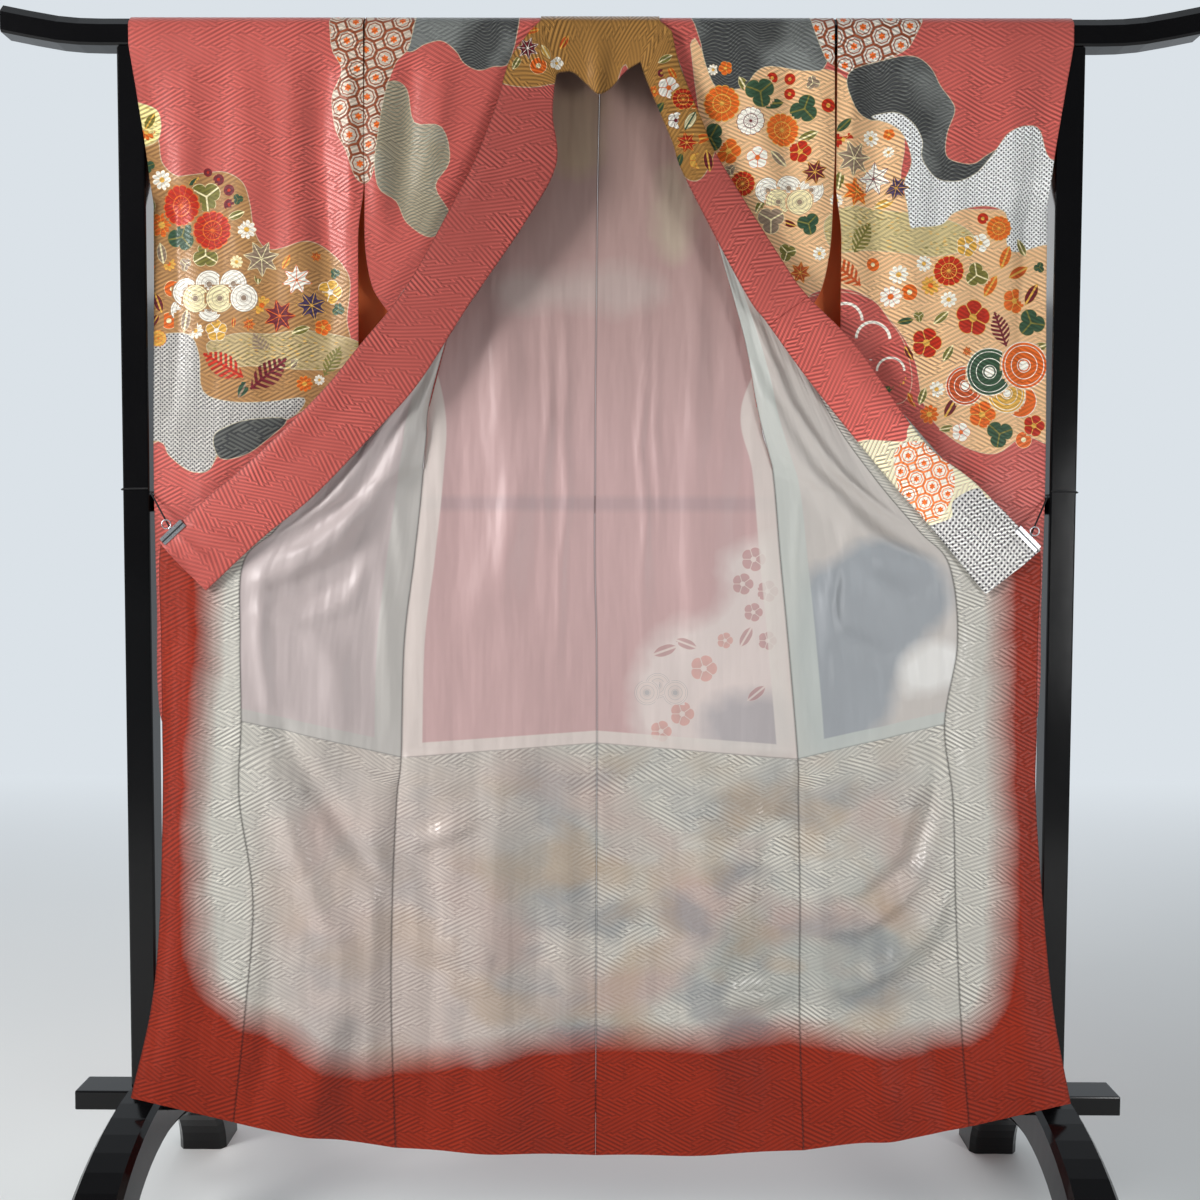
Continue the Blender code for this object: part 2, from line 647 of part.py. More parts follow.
def foot_ring(angle, centre_x):
    """The foot's section at an angle round its arch, a box with cut corners."""
    along, rise = -math.cos(angle), math.sin(angle)
    outer = Vector((0, FOOT_REACH * along, FOOT_CREST * rise))
    inner = Vector((0, FOOT_INNER_REACH * along, FOOT_INNER_CREST * rise))
    half = (FOOT_WIDTH + FOOT_FLARE * along * along) / 2
    cut, corner = FOOT_CORNER_DEEP, FOOT_CORNER_ACROSS
    ring = []
    for x, depth in (
        (-corner, 0), (corner, 0), (1, cut), (1, 1 - cut),
        (corner, 1), (-corner, 1), (-1, 1 - cut), (-1, cut),
    ):
        point = outer.lerp(inner, depth)
        point.x = centre_x + x * half
        ring.append(point)
    return ring


def build_feet(collection, cutters):
    for side, sign in (("left", -1), ("right", 1)):
        angles = [math.pi * i / FOOT_STEPS for i in range(FOOT_STEPS + 1)]
        rings = [foot_ring(angle, sign * FOOT_X) for angle in angles]
        mesh = loft_mesh(f"foot_{side}", rings)
        foot = add_object(f"foot_{side}", mesh, collection, (LACQUER, 0.12))
        half = LOW_RAIL_HALF_DEPTH + SEAM
        notch = box_object(
            f"notch_{side}",
            (sign * FOOT_X - NOTCH_HALF_LENGTH, -half, LOW_RAIL_LOW - SEAM),
            (sign * FOOT_X + NOTCH_HALF_LENGTH, half, NOTCH_TOP),
            0,
            cutters,
            (STEEL, 0.5),
        )
        notch.hide_render = True
        notch.display_type = "WIRE"
        cut = foot.modifiers.new("notch for the low rail", "BOOLEAN")
        cut.operation = "DIFFERENCE"
        cut.object = notch


def build_stand(collection, cutters):
    look = (LACQUER, 0.12)
    build_top_rail(collection)
    build_feet(collection, cutters)
    for side, sign in (("left", -1), ("right", 1)):
        x = sign * POST_X
        low = (x - POST_WIDTH / 2, -POST_DEPTH / 2, LOW_RAIL_HIGH + SEAM)
        high = (x + POST_WIDTH / 2, POST_DEPTH / 2, RAIL_TOP - RAIL_HEIGHT - SEAM)
        box_object(f"post_{side}", low, high, 0.003, collection, look)
    reach = POST_X - POST_WIDTH / 2 - SEAM
    box_object(
        "mid_rail",
        (-reach, MID_RAIL_FRONT, MID_RAIL_LOW),
        (reach, MID_RAIL_BACK, MID_RAIL_HIGH),
        0.003,
        collection,
        look,
    )
    box_object(
        "low_rail",
        (-LOW_RAIL_HALF_LENGTH, -LOW_RAIL_HALF_DEPTH, LOW_RAIL_LOW),
        (LOW_RAIL_HALF_LENGTH, LOW_RAIL_HALF_DEPTH, LOW_RAIL_HIGH),
        0.002,
        collection,
        look,
    )


def build_clip(side, collection):
    """A channel gripped over the cloth's edge at the collar's lower end."""
    table = COLLAR_LEFT if side == "left" else COLLAR_RIGHT
    end, after = Vector(table[0][:3]), Vector(table[1][:3])
    along = (after - end).normalized()
    along.y = 0
    along.normalize()
    sign = -1 if side == "left" else 1
    out = Vector((-along.z, 0, along.x)) * sign
    if out.z < 0:
        out = -out
    start = end + along * CLIP_START
    start.y = 0
    spine_in, spine_out = CLIP_SPINE, CLIP_SPINE + CLIP_WALL
    front, back = CLIP_FRONT, CLIP_BACK
    profile = (
        (-CLIP_LEG, front), (spine_in, front), (spine_in, back), (-CLIP_LEG, back),
        (-CLIP_LEG, back + CLIP_WALL), (spine_out, back + CLIP_WALL),
        (spine_out, front - CLIP_WALL), (-CLIP_LEG, front - CLIP_WALL),
    )
    rings = []
    for place in (0, CLIP_LENGTH):
        base = start + along * place
        rings.append([base + out * reach + Vector((0, y, 0)) for reach, y in profile])
    add_object(f"clip_{side}", loft_mesh(f"clip_{side}", rings), collection, (STEEL, 0.3, 1.0))
    return start + along * CLIP_LENGTH / 2 + out * (spine_out + SEAM)


def build_tie(side, start, collection):
    """A cord from the clip that winds once round the post."""
    sign = -1 if side == "left" else 1
    half_width = POST_WIDTH / 2 + SEAM + TIE_RADIUS
    half_depth = POST_DEPTH / 2 + SEAM + TIE_RADIUS
    corner = TIE_CORNER
    points = [Vector((start.x, (CLIP_FRONT + CLIP_BACK) / 2, start.z))]
    points[0] += Vector((sign * TIE_RADIUS, 0, TIE_RADIUS))
    turn = [
        (-half_width, -half_depth + corner), (-half_width, half_depth - corner),
        (-half_width + corner, half_depth), (half_width - corner, half_depth),
        (half_width, half_depth - corner), (half_width, -half_depth + corner),
        (half_width - corner, -half_depth), (-half_width + corner, -half_depth),
    ]
    for i, (x, y) in enumerate(turn):
        rise = TIE_PITCH * TIE_TURNS * i / len(turn)
        points.append(Vector((sign * (POST_X + x), y, TIE_Z + rise)))
    line = bpy.data.curves.new(f"tie_{side}", "CURVE")
    line.dimensions = "3D"
    line.bevel_depth = TIE_RADIUS
    line.bevel_resolution = 2
    line.use_fill_caps = True
    spline = line.splines.new("POLY")
    spline.points.add(len(points) - 1)
    for knot, point in zip(spline.points, points):
        knot.co = (*point, 1)
    line.materials.append(material(f"tie_{side}", BLACK_CORD, 0.7))
    collection.objects.link(bpy.data.objects.new(f"tie_{side}", line))


def build():
    clear_scene()
    parts = bpy.data.collections.new("furisode on kimono stand")
    cutters = bpy.data.collections.new("cutters")
    for collection in (parts, cutters):
        bpy.context.scene.collection.children.link(collection)
    build_stand(parts, cutters)
    for side in ("left", "right"):
        build_back(side, parts)
        build_front_shoulder(side, parts)
        build_front(side, parts)
        build_okumi(side, parts)
        build_sleeve(side, parts)
        build_tie(side, build_clip(side, parts), parts)
    build_collar(parts)


build()
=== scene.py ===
"""Looks of a furisode hung open on its lacquered kimono stand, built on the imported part.

Metres, +Z up, seen from -Y. Left is -X. Each cloth piece is a thin shell on the form of
its solid: it is read from the same seam lines, finely, and then creased.
"""

import math

import bpy
import numpy as np
from mathutils import Euler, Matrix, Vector


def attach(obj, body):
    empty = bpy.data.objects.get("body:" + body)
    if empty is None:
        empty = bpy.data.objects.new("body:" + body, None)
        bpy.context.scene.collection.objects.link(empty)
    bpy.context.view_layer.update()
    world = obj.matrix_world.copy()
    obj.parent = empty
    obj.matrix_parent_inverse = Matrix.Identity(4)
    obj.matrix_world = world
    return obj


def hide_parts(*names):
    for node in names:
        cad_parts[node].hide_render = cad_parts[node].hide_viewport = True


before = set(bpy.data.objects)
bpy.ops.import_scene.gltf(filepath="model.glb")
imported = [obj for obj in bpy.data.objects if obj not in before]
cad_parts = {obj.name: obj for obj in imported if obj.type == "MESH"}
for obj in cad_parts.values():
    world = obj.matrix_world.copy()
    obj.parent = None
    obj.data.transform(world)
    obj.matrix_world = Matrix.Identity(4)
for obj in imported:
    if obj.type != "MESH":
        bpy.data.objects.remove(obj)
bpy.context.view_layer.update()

# Cloth, as on the part
SEAM = 0.0003
HALF_SEAM = SEAM / 2
CLOTH = 0.0013
LINING = 0.0010
COLLAR_WALL = 0.0018
OVER_COLLAR_WALL = 0.0010

# Top rail, as on the part
RAIL_TOP = 1.7302
RAIL_HEIGHT = 0.040

# Clips, as on the part: place of the middle, length, and reach past the cloth's edge
CLIP_START = 0.004
CLIP_LENGTH = 0.040
CLIP_Y = -0.0452
CLIP_REACH = 0.0027
GROOVE = 0.0034  # from the clip's middle back to the groove along it

# The wire ring that the cord is tied to, and the two straight wires that hold it
RING = 0.0062
RING_GAP = 0.0035
RING_TURNS = 28
WIRE = 0.0009
WIRE_SIDES = 8
HOLDER_SHIFT = 0.0018
HOLDER_START = 0.0006
HOLDER_LENGTH = 0.0048

# The shoulder fold over the rail: distance behind the rail's middle, and height
CLOTH_TOP = RAIL_TOP + SEAM
FOLD_TOP_DEPTH = 0.0072
FOLD_SIDE_DEPTH = 0.0179
FOLD_SIDE_Z = 1.7183

# Seam lines: station, x on the left, x on the right, y, z
CENTRE_BACK = (
    (0, -0.001, -0.001, -0.0450, 0.124),
    (1, -0.001, -0.001, -0.0385, 0.318),
    (2, -0.001, -0.001, -0.0310, 0.488),
    (3, -0.001, -0.001, -0.0250, 0.633),
    (4, -0.001, -0.001, -0.0215, 0.712),
    (5, -0.002, -0.002, -0.0170, 0.855),
    (6, -0.005, -0.005, -0.0130, 0.976),
    (7, -0.005, -0.005, -0.0095, 1.100),
    (8, -0.005, -0.005, -0.0045, 1.195),
    (9, -0.004, -0.004, 0.0040, 1.350),
    (10, -0.003, -0.003, 0.0110, 1.505),
    (11, -0.001, -0.001, 0.0160, 1.620),
    (12, 0.000, 0.000, 0.0180, 1.686),
)
SIDE_SEAM = (
    (0, -0.285, 0.294, -0.0550, 0.138),
    (1, -0.292, 0.288, -0.0450, 0.334),
    (2, -0.291, 0.288, -0.0380, 0.491),
    (3, -0.285, 0.285, -0.0325, 0.633),
    (4, -0.279, 0.284, -0.0300, 0.692),
    (5, -0.275, 0.270, -0.0240, 0.853),
    (6, -0.261, 0.258, -0.0180, 0.976),
    (7, -0.249, 0.247, -0.0125, 1.099),
    (8, -0.248, 0.231, -0.0090, 1.190),
    (8.5, -0.274, 0.270, -0.0070, 1.285),
    (9, -0.322, 0.315, -0.0020, 1.362),
    (10, -0.329, 0.327, 0.0100, 1.505),
    (11, -0.329, 0.327, 0.0160, 1.620),
    (12, -0.328, 0.326, 0.0180, 1.686),
)
# Where the front turns back on itself, from the side seam up to the neck
FRONT_FOLD = (
    (8, -0.240, 0.223, -0.0115, 1.190),
    (8.5, -0.214, 0.205, -0.0155, 1.285),
    (9, -0.189, 0.182, -0.0180, 1.362),
    (10, -0.143, 0.139, -0.0180, 1.505),
    (11, -0.108, 0.107, -0.0180, 1.620),
    (12, -0.0833, 0.0833, -0.0180, 1.690),
)
# Where the turned-back front leaves the side seam and hangs from its own fold
FRONT_HINGE = (
    (7, -0.2495, 0.2475, -0.0155, 1.099),
    (7.5, -0.2440, 0.2345, -0.0162, 1.145),
    (8, -0.240, 0.223, -0.0170, 1.190),
    (9, -0.214, 0.204, -0.0200, 1.285),
    (10, -0.174, 0.168, -0.0220, 1.407),
    (11, -0.131, 0.128, -0.0220, 1.544),
    (12, -0.102, 0.102, -0.0220, 1.640),
    (13, -0.084, 0.084, -0.0220, 1.697),
)
OKUMI_SEAM = (
    (0, -0.508, 0.521, -0.0780, 0.185),
    (1, -0.494, 0.510, -0.0680, 0.330),
    (2, -0.484, 0.503, -0.0570, 0.493),
    (3, -0.504, 0.499, -0.0500, 0.636),
    (4, -0.501, 0.486, -0.0475, 0.745),
    (5, -0.502, 0.503, -0.0450, 0.862),
    (6, -0.497, 0.490, -0.0430, 0.968),
    (7, -0.451, 0.448, -0.0420, 1.015),
    (8, -0.397, 0.388, -0.0400, 1.085),
    (9, -0.340, 0.327, -0.0380, 1.169),
    (10, -0.280, 0.268, -0.0340, 1.280),
    (11, -0.226, 0.213, -0.0300, 1.405),
    (12, -0.161, 0.150, -0.0265, 1.557),
    (13, -0.104, 0.100, -0.0235, 1.692),
)
FRONT_EDGE = (
    (0, -0.650, 0.660, -0.0830, 0.221),
    (1, -0.624, 0.638, -0.0720, 0.345),
    (2, -0.614, 0.626, -0.0620, 0.470),
    (3, -0.611, 0.614, -0.0530, 0.637),
    (4, -0.612, 0.615, -0.0485, 0.740),
    (5, -0.613, 0.615, -0.0460, 0.862),
    (6, -0.613, 0.616, -0.0450, 0.988),
    (6.5, -0.596, 0.596, -0.0440, 1.006),
    (7, -0.570, 0.569, -0.0430, 1.033),
    (8, -0.502, 0.501, -0.0410, 1.094),
    (9, -0.407, 0.430, -0.0390, 1.172),
    (10, -0.3175, 0.334, -0.0350, 1.285),
    (11, -0.2375, 0.243, -0.0310, 1.400),
)
LINING_EDGE = 4  # the station where the body lining meets the hem lining

# Large folds. Each ridge runs along a row of (station, place across from 0 to 1).
# Columns: panel, side, half width across, height, ridge
FOLDS = (
    ("front", "left", 0.16, 0.016, ((5.6, 0.95), (6.3, 0.55), (7.2, 0.22), (8.6, 0.04))),
    ("front", "left", 0.13, 0.010, ((6.6, 0.98), (7.2, 0.62), (8.4, 0.36), (9.5, 0.30))),
    ("front", "left", 0.30, 0.009, ((0.0, 0.75), (1.0, 0.45), (2.6, 0.20), (3.6, 0.02))),
    ("front", "right", 0.16, 0.016, ((5.8, 0.95), (6.4, 0.60), (7.4, 0.25), (8.8, 0.05))),
    ("front", "right", 0.12, 0.011, ((6.9, 0.95), (7.6, 0.58), (8.6, 0.34), (9.6, 0.28))),
    ("front", "right", 0.28, 0.008, ((0.0, 0.70), (1.2, 0.50), (2.4, 0.25), (3.4, 0.05))),
    ("back", "left", 0.14, 0.009, ((5.0, 0.66), (6.0, 0.50), (7.0, 0.36), (8.4, 0.28))),
    ("back", "left", 0.22, 0.010, ((0.0, 0.55), (1.5, 0.60), (3.0, 0.82), (4.0, 0.95))),
    ("back", "right", 0.12, 0.006, ((4.6, 0.55), (6.0, 0.62), (7.2, 0.72), (8.6, 0.80))),
    ("back", "right", 0.24, 0.009, ((0.0, 0.48), (1.6, 0.58), (3.0, 0.78), (4.0, 0.92))),
)

FOLD_FADE = 0.6  # stations over which a fold dies out at its ends
FOLD_EDGES, CREASE_ENDS = 0.5, 0.7  # powers: how soon folds and creases rise at their edges
CREASE_EDGE = 1 / 8  # of a panel's width, over which its creases die out at the seams
RAIL_FADE = 0.05  # below the rail, over which creases begin
FAR = 1e9

# Sleeve rows: z, y of the front layer, y of the back layer, x of the outer edge, x of the
# back layer's inner edge
SLEEVE_ROWS = (
    (CLOTH_TOP, -HALF_SEAM, HALF_SEAM, 0.664, 0.3315),
    (CLOTH_TOP, -FOLD_TOP_DEPTH, FOLD_TOP_DEPTH, 0.664, 0.3315),
    (FOLD_SIDE_Z, -FOLD_SIDE_DEPTH, FOLD_SIDE_DEPTH, 0.662, 0.3315),
    (1.690, -0.0180, 0.0180, 0.658, 0.3315),
    (1.620, -0.0185, 0.0180, 0.647, 0.3315),
    (1.510, -0.0190, 0.0179, 0.632, 0.3315),
    (1.460, -0.0195, 0.0150, 0.6315, 0.3240),
    (1.340, -0.0205, 0.0080, 0.6310, 0.2960),
    (1.180, -0.0212, -0.0015, 0.6320, 0.2880),
    (1.060, -0.0212, -0.0075, 0.6315, 0.2920),
    (0.900, -0.0212, -0.0100, 0.6290, 0.3060),
    (0.772, -0.0220, -0.0115, 0.6280, 0.3240),
)
SLEEVE_INNER_X = 0.3315
SLEEVE_BOTTOM = 0.652
SLEEVE_ROUND = 0.120  # radius of the outer bottom corner
SLEEVE_BOTTOM_FRONT_Y, SLEEVE_BOTTOM_BACK_Y = -0.0230, -0.0150
CUFF_STOP = 1.510  # below this the sleeve's outer edge is sewn shut
CUFF_RUN = 0.050
EDGE_CLOSING = 0.64  # place across where the layers start to close
BOTTOM_CLOSING = 0.120

# Collar: distance along is in the row's order, from the lower end to the neck.
# Columns: seam x, y, z, then free edge x, y, z
COLLAR_LEFT = (
    (-0.613, -0.0466, 0.996, -0.547, -0.0515, 0.929),
    (-0.552, -0.0455, 1.053, -0.470, -0.0500, 1.001),
    (-0.474, -0.0435, 1.119, -0.395, -0.0475, 1.063),
    (-0.387, -0.0410, 1.204, -0.305, -0.0445, 1.157),
    (-0.336, -0.0385, 1.266, -0.249, -0.0420, 1.221),
    (-0.268, -0.0370, 1.352, -0.184, -0.0400, 1.322),
    (-0.197, -0.0340, 1.479, -0.100, -0.0375, 1.445),
    (-0.168, -0.0325, 1.538, -0.060, -0.0360, 1.520),
    (-0.142, -0.0310, 1.607, -0.065, -0.0340, 1.586),
    (-0.124, -0.0285, 1.666, -0.063, -0.0325, 1.624),
    (-0.097, -0.0255, 1.705, -0.060, -0.0305, 1.644),
)
COLLAR_RIGHT = (
    (0.616, -0.0466, 0.990, 0.539, -0.0515, 0.928),
    (0.524, -0.0450, 1.082, 0.460, -0.0495, 1.023),
    (0.450, -0.0430, 1.141, 0.396, -0.0470, 1.095),
    (0.360, -0.0405, 1.267, 0.297, -0.0440, 1.216),
    (0.289, -0.0380, 1.340, 0.235, -0.0415, 1.300),
    (0.255, -0.0365, 1.387, 0.201, -0.0400, 1.347),
    (0.164, -0.0325, 1.531, 0.118, -0.0365, 1.503),
    (0.143, -0.0315, 1.578, 0.100, -0.0350, 1.552),
    (0.111, -0.0285, 1.656, 0.071, -0.0325, 1.620),
    (0.099, -0.0255, 1.705, 0.060, -0.0305, 1.648),
)
# Round the neck the collar comes over the rail: place across, free edge x, y, z
COLLAR_NECK = (
    (-1.0, -0.0560, -0.0290, 1.648),
    (-0.6, -0.0370, -0.0275, 1.648),
    (-0.3, -0.0170, -0.0280, 1.631),
    (0.0, -0.0030, -0.0400, 1.615),
    (0.3, 0.0140, -0.0280, 1.626),
    (0.6, 0.0360, -0.0275, 1.650),
    (1.0, 0.0560, -0.0290, 1.662),
)
NECK_HALF = 0.0827
COLLAR_TURN = (-0.0205, 1.7195, -0.80, 0.60)  # y and height, and the wall's way out and up
OVER_COLLAR_ROWS = 5  # of the collar's tables, from the neck down to the over-collar's end
NECK_SHARE = 0.256  # share of a back panel's width inside the neck opening

# Creases: half width, how far it stands out, and its line of (x, z) in centimetres
CREASES = {
    "back": (
        (0.0060, 0.0042, ((-5.2, 136), (-4.6, 123), (-5.0, 114.5), (-4.4, 106), (-5.3, 97.5),
                          (-5.7, 86), (-6.6, 77.5))),
        (0.0055, 0.0034, ((-7.6, 140), (-7.0, 118), (-7.8, 108), (-7.0, 96))),
        (0.0060, 0.0042, ((6.2, 140), (6.6, 123), (5.8, 113), (6.9, 103), (6.0, 93), (6.4, 84.5))),
        (0.0055, 0.0030, ((8.4, 130), (8.0, 116), (8.8, 107), (8.2, 96))),
        (0.0140, -0.0030, ((-0.5, 160), (-0.8, 130), (-0.5, 100), (-0.4, 78))),
        (0.0200, 0.0050, ((-12.5, 152), (-13.5, 130), (-12.5, 105), (-13, 80))),
        (0.0180, 0.0046, ((12.5, 150), (14, 128), (13, 104), (13.5, 80))),
        (0.0160, -0.0030, ((-20.5, 138), (-20, 110), (-20.5, 80))),
        (0.0160, -0.0030, ((20.5, 138), (20, 110), (20.5, 80))),
        (0.0200, 0.0044, ((-25, 130), (-25.5, 105), (-25, 76))),
        (0.0200, 0.0044, ((25.5, 130), (25.5, 105), (25, 76))),
        (0.0140, 0.0100, ((-28, 57), (-22, 58.5), (-16, 61))),
        (0.0200, 0.0100, ((-28, 44.5), (-22, 42.5), (-14, 41))),
        (0.0320, 0.0110, ((-13, 72), (-14.5, 45), (-13, 14))),
        (0.0260, 0.0090, ((-4, 70), (-4.5, 45), (-3, 16))),
        (0.0150, 0.0110, ((28.6, 37), (24, 35.5), (18, 36))),
        (0.0160, 0.0050, ((28, 66), (24, 61), (17, 63))),
        (0.0320, 0.0110, ((15, 72), (16.5, 45), (17, 14))),
        (0.0180, -0.0040, ((-23, 66), (-23.5, 45), (-24, 16))),
        (0.0180, -0.0040, ((24, 66), (25, 45), (25.5, 16))),
    ),
    "front": (
        (0.0120, 0.0075, ((-47.5, 97), (-47.5, 86), (-46.0, 73))),
        (0.0110, 0.0080, ((-49.5, 93.5), (-43, 95.5), (-36.5, 99), (-33, 105))),
        (0.0120, 0.0060, ((-49.5, 90), (-42, 88.5), (-35.5, 91), (-32, 98))),
        (0.0100, -0.0035, ((-46, 92), (-40, 92.2), (-34.6, 95.5))),
        (0.0200, 0.0060, ((-41, 88), (-37, 82), (-36.5, 72))),
        (0.0120, 0.0060, ((-31, 100), (-29.5, 86), (-29, 70))),
        (0.0080, 0.0040, ((-29.5, 110), (-27.5, 97), (-27.6, 84))),
        (0.0180, 0.0070, ((48, 95), (43, 92), (38, 95), (33.5, 103))),
        (0.0140, 0.0055, ((46, 88), (40, 84), (34, 87), (31, 95))),
        (0.0200, 0.0060, ((43.5, 84), (41, 80), (39.5, 71))),
        (0.0080, 0.0045, ((29, 110), (28, 97), (28.3, 83))),
        (0.0120, 0.0060, ((36, 106), (32.5, 91), (31.5, 75))),
        (0.0100, 0.0050, ((49, 95.5), (48.3, 86.5), (47.7, 73))),
        (0.0150, -0.0130, ((-46.5, 77), (-42, 68), (-36.5, 60), (-31, 52), (-28, 47))),
        (0.0200, 0.0120, ((-47, 70), (-43, 58), (-38, 46), (-33, 38))),
        (0.0280, 0.0120, ((-34, 40), (-38, 28), (-41, 13))),
        (0.0220, 0.0090, ((-30, 68), (-31, 50), (-32.5, 18))),
        (0.0160, 0.0140, ((28.6, 37), (36, 38), (41.4, 41), (46, 45.5), (49.5, 51), (50, 60))),
        (0.0120, 0.0100, ((29, 45), (37, 46), (43, 50.5), (48, 57))),
        (0.0140, -0.0130, ((48, 77), (48, 66), (44, 55), (38, 49.5), (31, 48))),
        (0.0280, 0.0110, ((37, 32), (40, 22), (41.5, 13))),
        (0.0220, 0.0060, ((31, 68), (31.5, 50), (32.5, 18))),
        (0.0160, -0.0040, ((-45, 50), (-46, 38), (-48, 18))),
        (0.0160, -0.0040, ((46, 42), (47, 30), (48.5, 17))),
    ),
    "okumi": (
        (0.0220, 0.0080, ((-57, 97), (-57, 75), (-58, 50), (-59, 22))),
        (0.0220, 0.0080, ((57, 97), (57.5, 70), (59, 50), (60, 22))),
    ),
    "shoulder": (
        (0.0240, -0.0100, ((-8.5, 170), (-11.5, 162), (-15, 154), (-18, 148), (-20.5, 143))),
        (0.0240, -0.0100, ((8.5, 170), (11.5, 162), (14.5, 154), (17.5, 147), (20, 141))),
        (0.0160, 0.0060, ((-30.8, 166), (-31, 155), (-30.5, 141))),
        (0.0160, 0.0060, ((30.8, 166), (31, 155), (30.3, 141))),
        (0.0160, -0.0070, ((-26.2, 170), (-27, 156), (-28, 144))),
        (0.0160, -0.0070, ((26.2, 170), (26.5, 156), (27, 144))),
        (0.0160, 0.0050, ((-21.5, 170), (-22.5, 158), (-24.5, 148))),
        (0.0160, 0.0050, ((20.5, 170), (22, 158), (24, 148))),
    ),
    "sleeve": (
        (0.0220, -0.0060, ((-63, 168), (-61.5, 152), (-60.5, 134), (-61, 116))),
        (0.0300, -0.0060, ((-53, 173), (-54.5, 152), (-53.5, 130), (-56, 110))),
        (0.0160, 0.0020, ((-57.5, 170), (-58, 152), (-57, 132))),
        (0.0240, -0.0050, ((-47, 173), (-45.5, 154), (-46.5, 132), (-46, 116))),
        (0.0240, -0.0130, ((-38.8, 172), (-39.6, 154), (-38, 134), (-40, 120))),
        (0.0090, 0.0040, ((-35.2, 171), (-34.9, 158), (-34.6, 144))),
        (0.0200, -0.0080, ((63, 168), (61.5, 152), (60.5, 134), (61, 116))),
        (0.0280, -0.0070, ((54, 173), (52.5, 150), (54.5, 130), (53, 110))),
        (0.0140, 0.0025, ((58, 170), (57.5, 152), (58.5, 132))),
        (0.0220, -0.0055, ((46.5, 173), (48, 152), (46.5, 132), (47, 116))),
        (0.0240, -0.0130, ((40, 172), (38.5, 152), (40, 132), (39, 122))),
        (0.0090, 0.0040, ((35.4, 171), (35, 158), (35.4, 144))),
    ),
    "collar": (
        (0.0080, 0.0016, ((-15, 152), (-19, 145))),
        (0.0050, 0.0034, ((-60.5, 99.2), (-56.5, 94))),
        (0.0050, 0.0040, ((-59, 100.6), (-53.5, 96.5))),
        (0.0050, 0.0034, ((-57.5, 102.4), (-50, 99.5))),
        (0.0050, 0.0034, ((60.6, 99.2), (57, 94))),
        (0.0050, 0.0040, ((59.2, 100.6), (53.5, 97))),
        (0.0050, 0.0034, ((57.5, 102.8), (50, 100.5))),
        (0.0200, 0.0050, ((-27, 135), (-38, 120), (-50, 108))),
        (0.0200, 0.0050, ((27, 135), (38, 120), (50, 108))),
        (0.0080, 0.0016, ((13, 158), (16, 152))),
    ),
}

